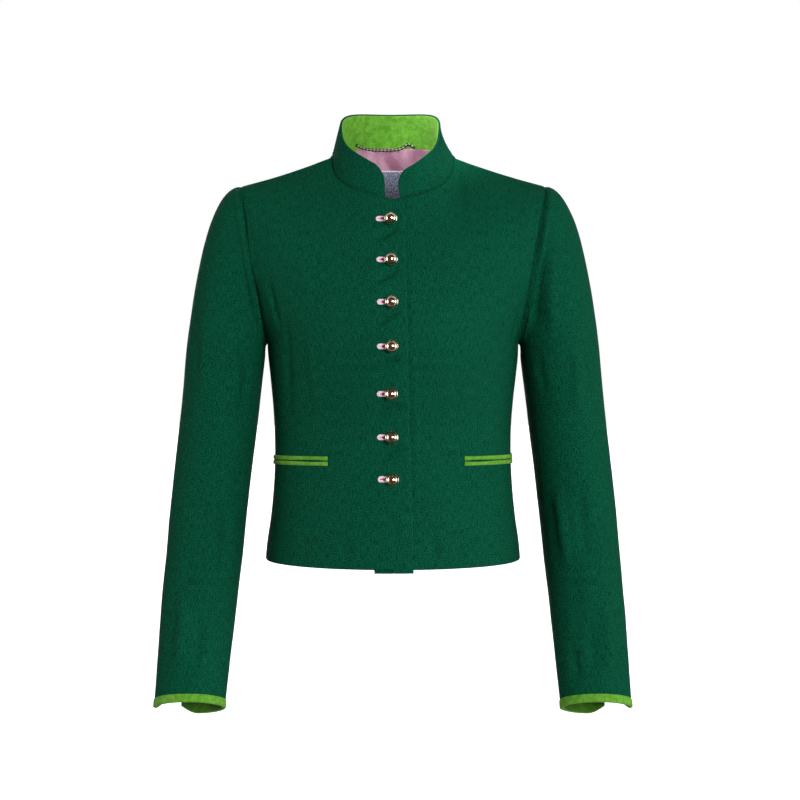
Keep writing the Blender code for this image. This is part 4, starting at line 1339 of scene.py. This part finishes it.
def turned(name, profile, steps, place, axis, coat):
    build = bmesh.new()
    rings = []
    for radius, height in profile[1:-1]:
        angles = [math.tau * k / steps for k in range(steps)]
        rings.append([build.verts.new((radius * math.cos(a), radius * math.sin(a), height)) for a in angles])
    low, high = build.verts.new((0, 0, profile[0][1])), build.verts.new((0, 0, profile[-1][1]))
    for k in range(steps):
        n = (k + 1) % steps
        build.faces.new((low, rings[0][n], rings[0][k]))
        build.faces.new((high, rings[-1][k], rings[-1][n]))
        for a, b in zip(rings, rings[1:]):
            build.faces.new((a[k], a[n], b[n], b[k]))
    turn = Vector(axis).to_track_quat("Z", "Y").to_matrix().to_4x4()
    bmesh.ops.transform(build, matrix=Matrix.Translation(place) @ turn, verts=build.verts)
    return fromBuild(name, build, 35, (coat,))


topFront = panels["front_right"]
topGrid = topFront["points"] + topFront["normals"] * lapRelief(topFront["points"], -1)[:, :, None]
for number, stop in enumerate(buttonStops, 1):
    point, out = clothAt(topGrid, topFront["normals"], stop.x, stop.z)
    level = Vector((out[0], out[1], 0)).normalized()
    profile = buttonProfile(level.angle(Vector(out)))
    item = turned(f"ball_button_{number}", profile, button["steps"], point, level, buttonMetal)
    finished(item, "button_metal", f"button_{number}")
print("buttons: done")


# Buttonholes and the hanger chain repeat one small shape along a line

hole = dict(end=0.0030, arcSteps=8)
holeStitch = dict(start=-0.0134, offset=0.0017, lift=0.0004)
holeStitch.update(ring=dict(Spacing=0.00042, Length=0.00048, Width=0.0028, Thickness=0.00030, Lean=0.25))
holeGimp = dict(start=-0.0099, offset=0.00048, lift=0.0008)
holeGimp.update(ring=dict(Spacing=0.00063, Length=0.0012, Width=0.0011, Thickness=0.00045, Lean=0.4))
chain = dict(away=0.0017, fineness=60)
chain.update(ring=dict(Spacing=0.0022, Length=0.0026, Width=0.0024, Thickness=0.0006, Lean=0.0))
chainStops = [
    Stop(-0.0434, 0.0188),
    Stop(-0.0362, 0.0160),
    Stop(-0.0254, 0.0144),
    Stop(-0.0097, 0.0142),
    Stop(0.0035, 0.0150),
    Stop(0.0119, 0.0174),
    Stop(0.0170, 0.0214),
    Stop(0.0213, 0.0206),
    Stop(0.0246, 0.0176),
]


def lineObject(name, points, cyclic):
    curve = bpy.data.curves.new(name, "CURVE")
    curve.dimensions = "3D"
    spline = curve.splines.new("POLY")
    spline.points.add(len(points) - 1)
    for k, point in enumerate(points):
        spline.points[k].co = (*point, 1)
    spline.use_cyclic_u = cyclic
    return addObject(name, curve)


# Copies of a small ring of wire or thread along a line, each one turned about it from the one before
def repeatTree():
    tree = bpy.data.node_groups.new("alongLine", "GeometryNodeTree")
    face = tree.interface
    face.new_socket("Geometry", in_out="OUTPUT", socket_type="NodeSocketGeometry")
    face.new_socket("Geometry", in_out="INPUT", socket_type="NodeSocketGeometry")
    for socket in ("Spacing", "Length", "Width", "Thickness", "Turn", "Lean"):
        face.new_socket(socket, in_out="INPUT", socket_type="NodeSocketFloat")
    face.new_socket("Across", in_out="INPUT", socket_type="NodeSocketVector")
    face.new_socket("Material", in_out="INPUT", socket_type="NodeSocketMaterial")
    given = tree.nodes.new("NodeGroupInput")
    result = tree.nodes.new("NodeGroupOutput")
    size = {s: given.outputs[s] for s in ("Spacing", "Length", "Width", "Thickness", "Turn", "Lean")}
    line = given.outputs["Geometry"]
    points = node(tree, "GeometryNodeCurveToPoints", {"mode": "LENGTH"}, Curve=line, Length=size["Spacing"])
    ring = node(tree, "GeometryNodeCurvePrimitiveCircle", {"mode": "RADIUS"}, Resolution=16, Radius=0.5)
    shape = node(tree, "ShaderNodeCombineXYZ", X=size["Length"], Y=size["Width"], Z=1.0)
    ring = node(tree, "GeometryNodeTransform", Geometry=ring.outputs[0], Scale=shape.outputs[0])
    thin = size["Thickness"]
    tube = node(tree, "GeometryNodeCurvePrimitiveCircle", {"mode": "RADIUS"}, Resolution=6, Radius=thin)
    link = node(tree, "GeometryNodeCurveToMesh", Curve=ring.outputs[0], _1=tube.outputs[0])
    link = node(tree, "GeometryNodeSetShadeSmooth", Geometry=link.outputs[0])
    facing = node(tree, "FunctionNodeAlignEulerToVector", {"axis": "X"}, Vector=points.outputs["Tangent"])
    second, across = {"axis": "Z", "pivot_axis": "X"}, given.outputs["Across"]
    facing = node(tree, "FunctionNodeAlignEulerToVector", second, Rotation=facing.outputs[0], Vector=across)
    index = node(tree, "GeometryNodeInputIndex")
    turns = node(tree, "ShaderNodeMath", {"operation": "MULTIPLY"}, _0=index.outputs[0], _1=size["Turn"])
    wobble = node(tree, "FunctionNodeRandomValue", {"data_type": "FLOAT"}, _2=-1.0, _3=1.0, Seed=4)
    lean = node(tree, "ShaderNodeMath", {"operation": "MULTIPLY"}, _0=wobble.outputs[1], _1=size["Lean"])
    spin = node(tree, "ShaderNodeCombineXYZ", X=turns.outputs[0], Z=lean.outputs[0])
    copies = dict(Points=points.outputs[0], Instance=link.outputs[0], Rotation=facing.outputs[0])
    placed = node(tree, "GeometryNodeInstanceOnPoints", **copies).outputs[0]
    placed = node(tree, "GeometryNodeRotateInstances", Instances=placed, Rotation=spin.outputs[0]).outputs[0]
    # every other link is marked, so that its material paints it with a highlight
    paintedHighlightLink = node(tree, "ShaderNodeMath", {"operation": "MODULO"}, _0=index.outputs[0], _1=2.0)
    onEach = {"data_type": "FLOAT", "domain": "INSTANCE"}
    kept = dict(Geometry=placed, Name="paintedHighlightLink", Value=paintedHighlightLink.outputs[0])
    placed = node(tree, "GeometryNodeStoreNamedAttribute", onEach, **kept).outputs[0]
    real = node(tree, "GeometryNodeRealizeInstances", Geometry=placed).outputs[0]
    coated = node(tree, "GeometryNodeSetMaterial", Geometry=real, Material=given.outputs["Material"])
    tree.links.new(coated.outputs[0], result.inputs[0])
    return tree


alongLine = repeatTree()


# Runs the tree on a line and keeps the result as a plain mesh
def repeated(name, line, coat, values):
    modifier = line.modifiers.new("repeat", "NODES")
    modifier.node_group = alongLine
    sockets = {s.name: s.identifier for s in alongLine.interface.items_tree if s.in_out == "INPUT"}
    for key, value in {**values, "Material": coat}.items():
        modifier[sockets[key]] = value
    graph = bpy.context.evaluated_depsgraph_get()
    made = bpy.data.meshes.new_from_object(line.evaluated_get(graph))
    bpy.data.objects.remove(line)
    made.name = name
    return addObject(name, made)


# A loop round a slot from one x to the other, this far from its middle line
def holeLine(z, startX, endX, offset, lift):
    loop = []
    for end, first in ((endX, -90), (startX, 90)):
        for k in range(hole["arcSteps"] + 1):
            angle = math.radians(first + 180 * k / hole["arcSteps"])
            x, high = end + offset * math.cos(angle), z + offset * math.sin(angle)
            point, out = clothAt(topGrid, topFront["normals"], x, high)
            loop.append(point + out * lift)
    return loop


for number, stop in enumerate(buttonStops, 1):
    outward = clothAt(topGrid, topFront["normals"], stop.x, stop.z)[1]
    for name, coat, shape in (("stitches", pinkThread, holeStitch), ("gimp", magentaThread, holeGimp)):
        start, end = stop.x + shape["start"], stop.x + hole["end"]
        line = lineObject("line", holeLine(stop.z, start, end, shape["offset"], shape["lift"]), True)
        values = dict(shape["ring"], Turn=0.0, Across=tuple(float(a) for a in outward))
        item = repeated(f"buttonhole_{name}_{number}", line, coat, values)
        finished(item, "pink_lining")
print("buttonholes: done")


def addChain():
    third = facingIn.shape[1] // 3
    grid, normals = facingIn[:, third:-third], collarNormals[:, third:-third]
    route = []
    for stop in chainStops:
        point, out = clothAt(grid, normals, stop.x, stop.z)
        route.append(Vector((stop.x, point[1] - out[1] * chain["away"], stop.z)))
    knots = list(range(len(route)))
    points = [through(knots, route, knots[-1] * k / chain["fineness"]) for k in range(chain["fineness"] + 1)]
    values = dict(chain["ring"], Turn=math.pi / 2, Across=(0.0, -1.0, 0.0))
    item = repeated("hanger_chain_links", lineObject("line", points, False), chainMetal, values)
    finished(item, "chain_metal", "hanger_chain")


addChain()
print("chain: done")


# Floor, light and camera

studio = dict(floorZ=-0.78, floorHalf=40.0, ambient=0.13, pale="#ffffff", roomDark="#5a4333")
neckLamp = dict(place=(-0.18, -0.48, 0.36), target=(0.060, 0.045, 0.004), power=44.0)
neckLamp.update(cone=9, blend=0.5, size=0.05)

Sun = namedtuple("Sun", "towards strength angle")
suns = {
    "keyLight": Sun((-0.40, 1.0, -0.09), 3.3, 24),
    "rightLight": Sun((-1.0, 0.15, 0.0), 1.75, 40),
    "leftLight": Sun((1.0, 0.0, 0.0), 1.7, 40),
    "backLight": Sun((0.1, -1.0, -0.2), 2.2, 40),
}


# White paper under the jacket: it looks pure white and neither tints nor mirrors in anything
def addFloor():
    half, z = studio["floorHalf"], studio["floorZ"]
    made = bpy.data.meshes.new("floor")
    corners = [(-half, -half, z), (half, -half, z), (half, half, z), (-half, half, z)]
    made.from_pydata(corners, [], [(0, 1, 2, 3)])
    coat, tree, shader = newMaterial("paperBackdrop", studio["pale"], 0.9, 0.1)
    shader.inputs["Emission Color"].default_value = linear(studio["pale"])
    shader.inputs["Emission Strength"].default_value = 1.0
    made.materials.append(coat)
    item = addObject("floor", made)
    item.visible_diffuse = False
    item.visible_glossy = False


def addSun(name, sun):
    light = bpy.data.lights.new(name, "SUN")
    light.energy = sun.strength
    light.angle = math.radians(sun.angle)
    item = addObject(name, light)
    item.rotation_euler = Vector(sun.towards).to_track_quat("-Z", "Y").to_euler()


# A small lamp above the collar that lights the inside of the neck, as the photograph has it
def addNeckLamp():
    light = bpy.data.lights.new("neckLamp", "SPOT")
    light.energy = neckLamp["power"]
    light.spot_size = math.radians(neckLamp["cone"])
    light.spot_blend = neckLamp["blend"]
    light.shadow_soft_size = neckLamp["size"]
    item = addObject("neckLamp", light)
    item.location = neckLamp["place"]
    way = Vector(neckLamp["target"]) - Vector(neckLamp["place"])
    item.rotation_euler = way.to_track_quat("-Z", "Y").to_euler()


def addWorld():
    world = bpy.data.worlds.new("studio")
    bpy.context.scene.world = world
    world.use_nodes = True
    tree = world.node_tree
    tree.nodes.clear()
    lit = node(tree, "ShaderNodeBackground", Color=(1, 1, 1, 1), Strength=studio["ambient"])
    seen = node(tree, "ShaderNodeBackground", Color=linear(studio["pale"]), Strength=1.0)
    path = node(tree, "ShaderNodeLightPath")
    # metal mirrors the white paper behind it and the dark room behind the camera
    way = node(tree, "ShaderNodeSeparateXYZ", _0=node(tree, "ShaderNodeTexCoord").outputs["Generated"])
    stops = [(0.0, studio["roomDark"]), (0.12, studio["pale"])]
    room = node(tree, "ShaderNodeValToRGB", stops=stops, Fac=way.outputs["Y"])
    mirrored = node(tree, "ShaderNodeBackground", Color=room.outputs[0], Strength=1.0)
    mixed = lit.outputs[0]
    for ray, sky in (("Is Glossy Ray", mirrored), ("Is Camera Ray", seen)):
        shaders = dict(_0=path.outputs[ray], _1=mixed, _2=sky.outputs[0])
        mixed = node(tree, "ShaderNodeMixShader", **shaders).outputs[0]
    node(tree, "ShaderNodeOutputWorld", Surface=mixed)


def addCamera():
    data = bpy.data.cameras.new("camera")
    data.sensor_width = camera["sensor"]
    data.lens = camera["lens"]
    data.clip_end = 200
    item = addObject("camera", data)
    item.location = (camera["x"], -camera["distance"], camera["z"])
    item.rotation_euler = (math.pi / 2, 0, 0)
    bpy.context.scene.camera = item


addFloor()
for name, sun in suns.items():
    addSun(name, sun)
addNeckLamp()
addWorld()
addCamera()
bpy.context.scene.view_settings.view_transform = "Standard"
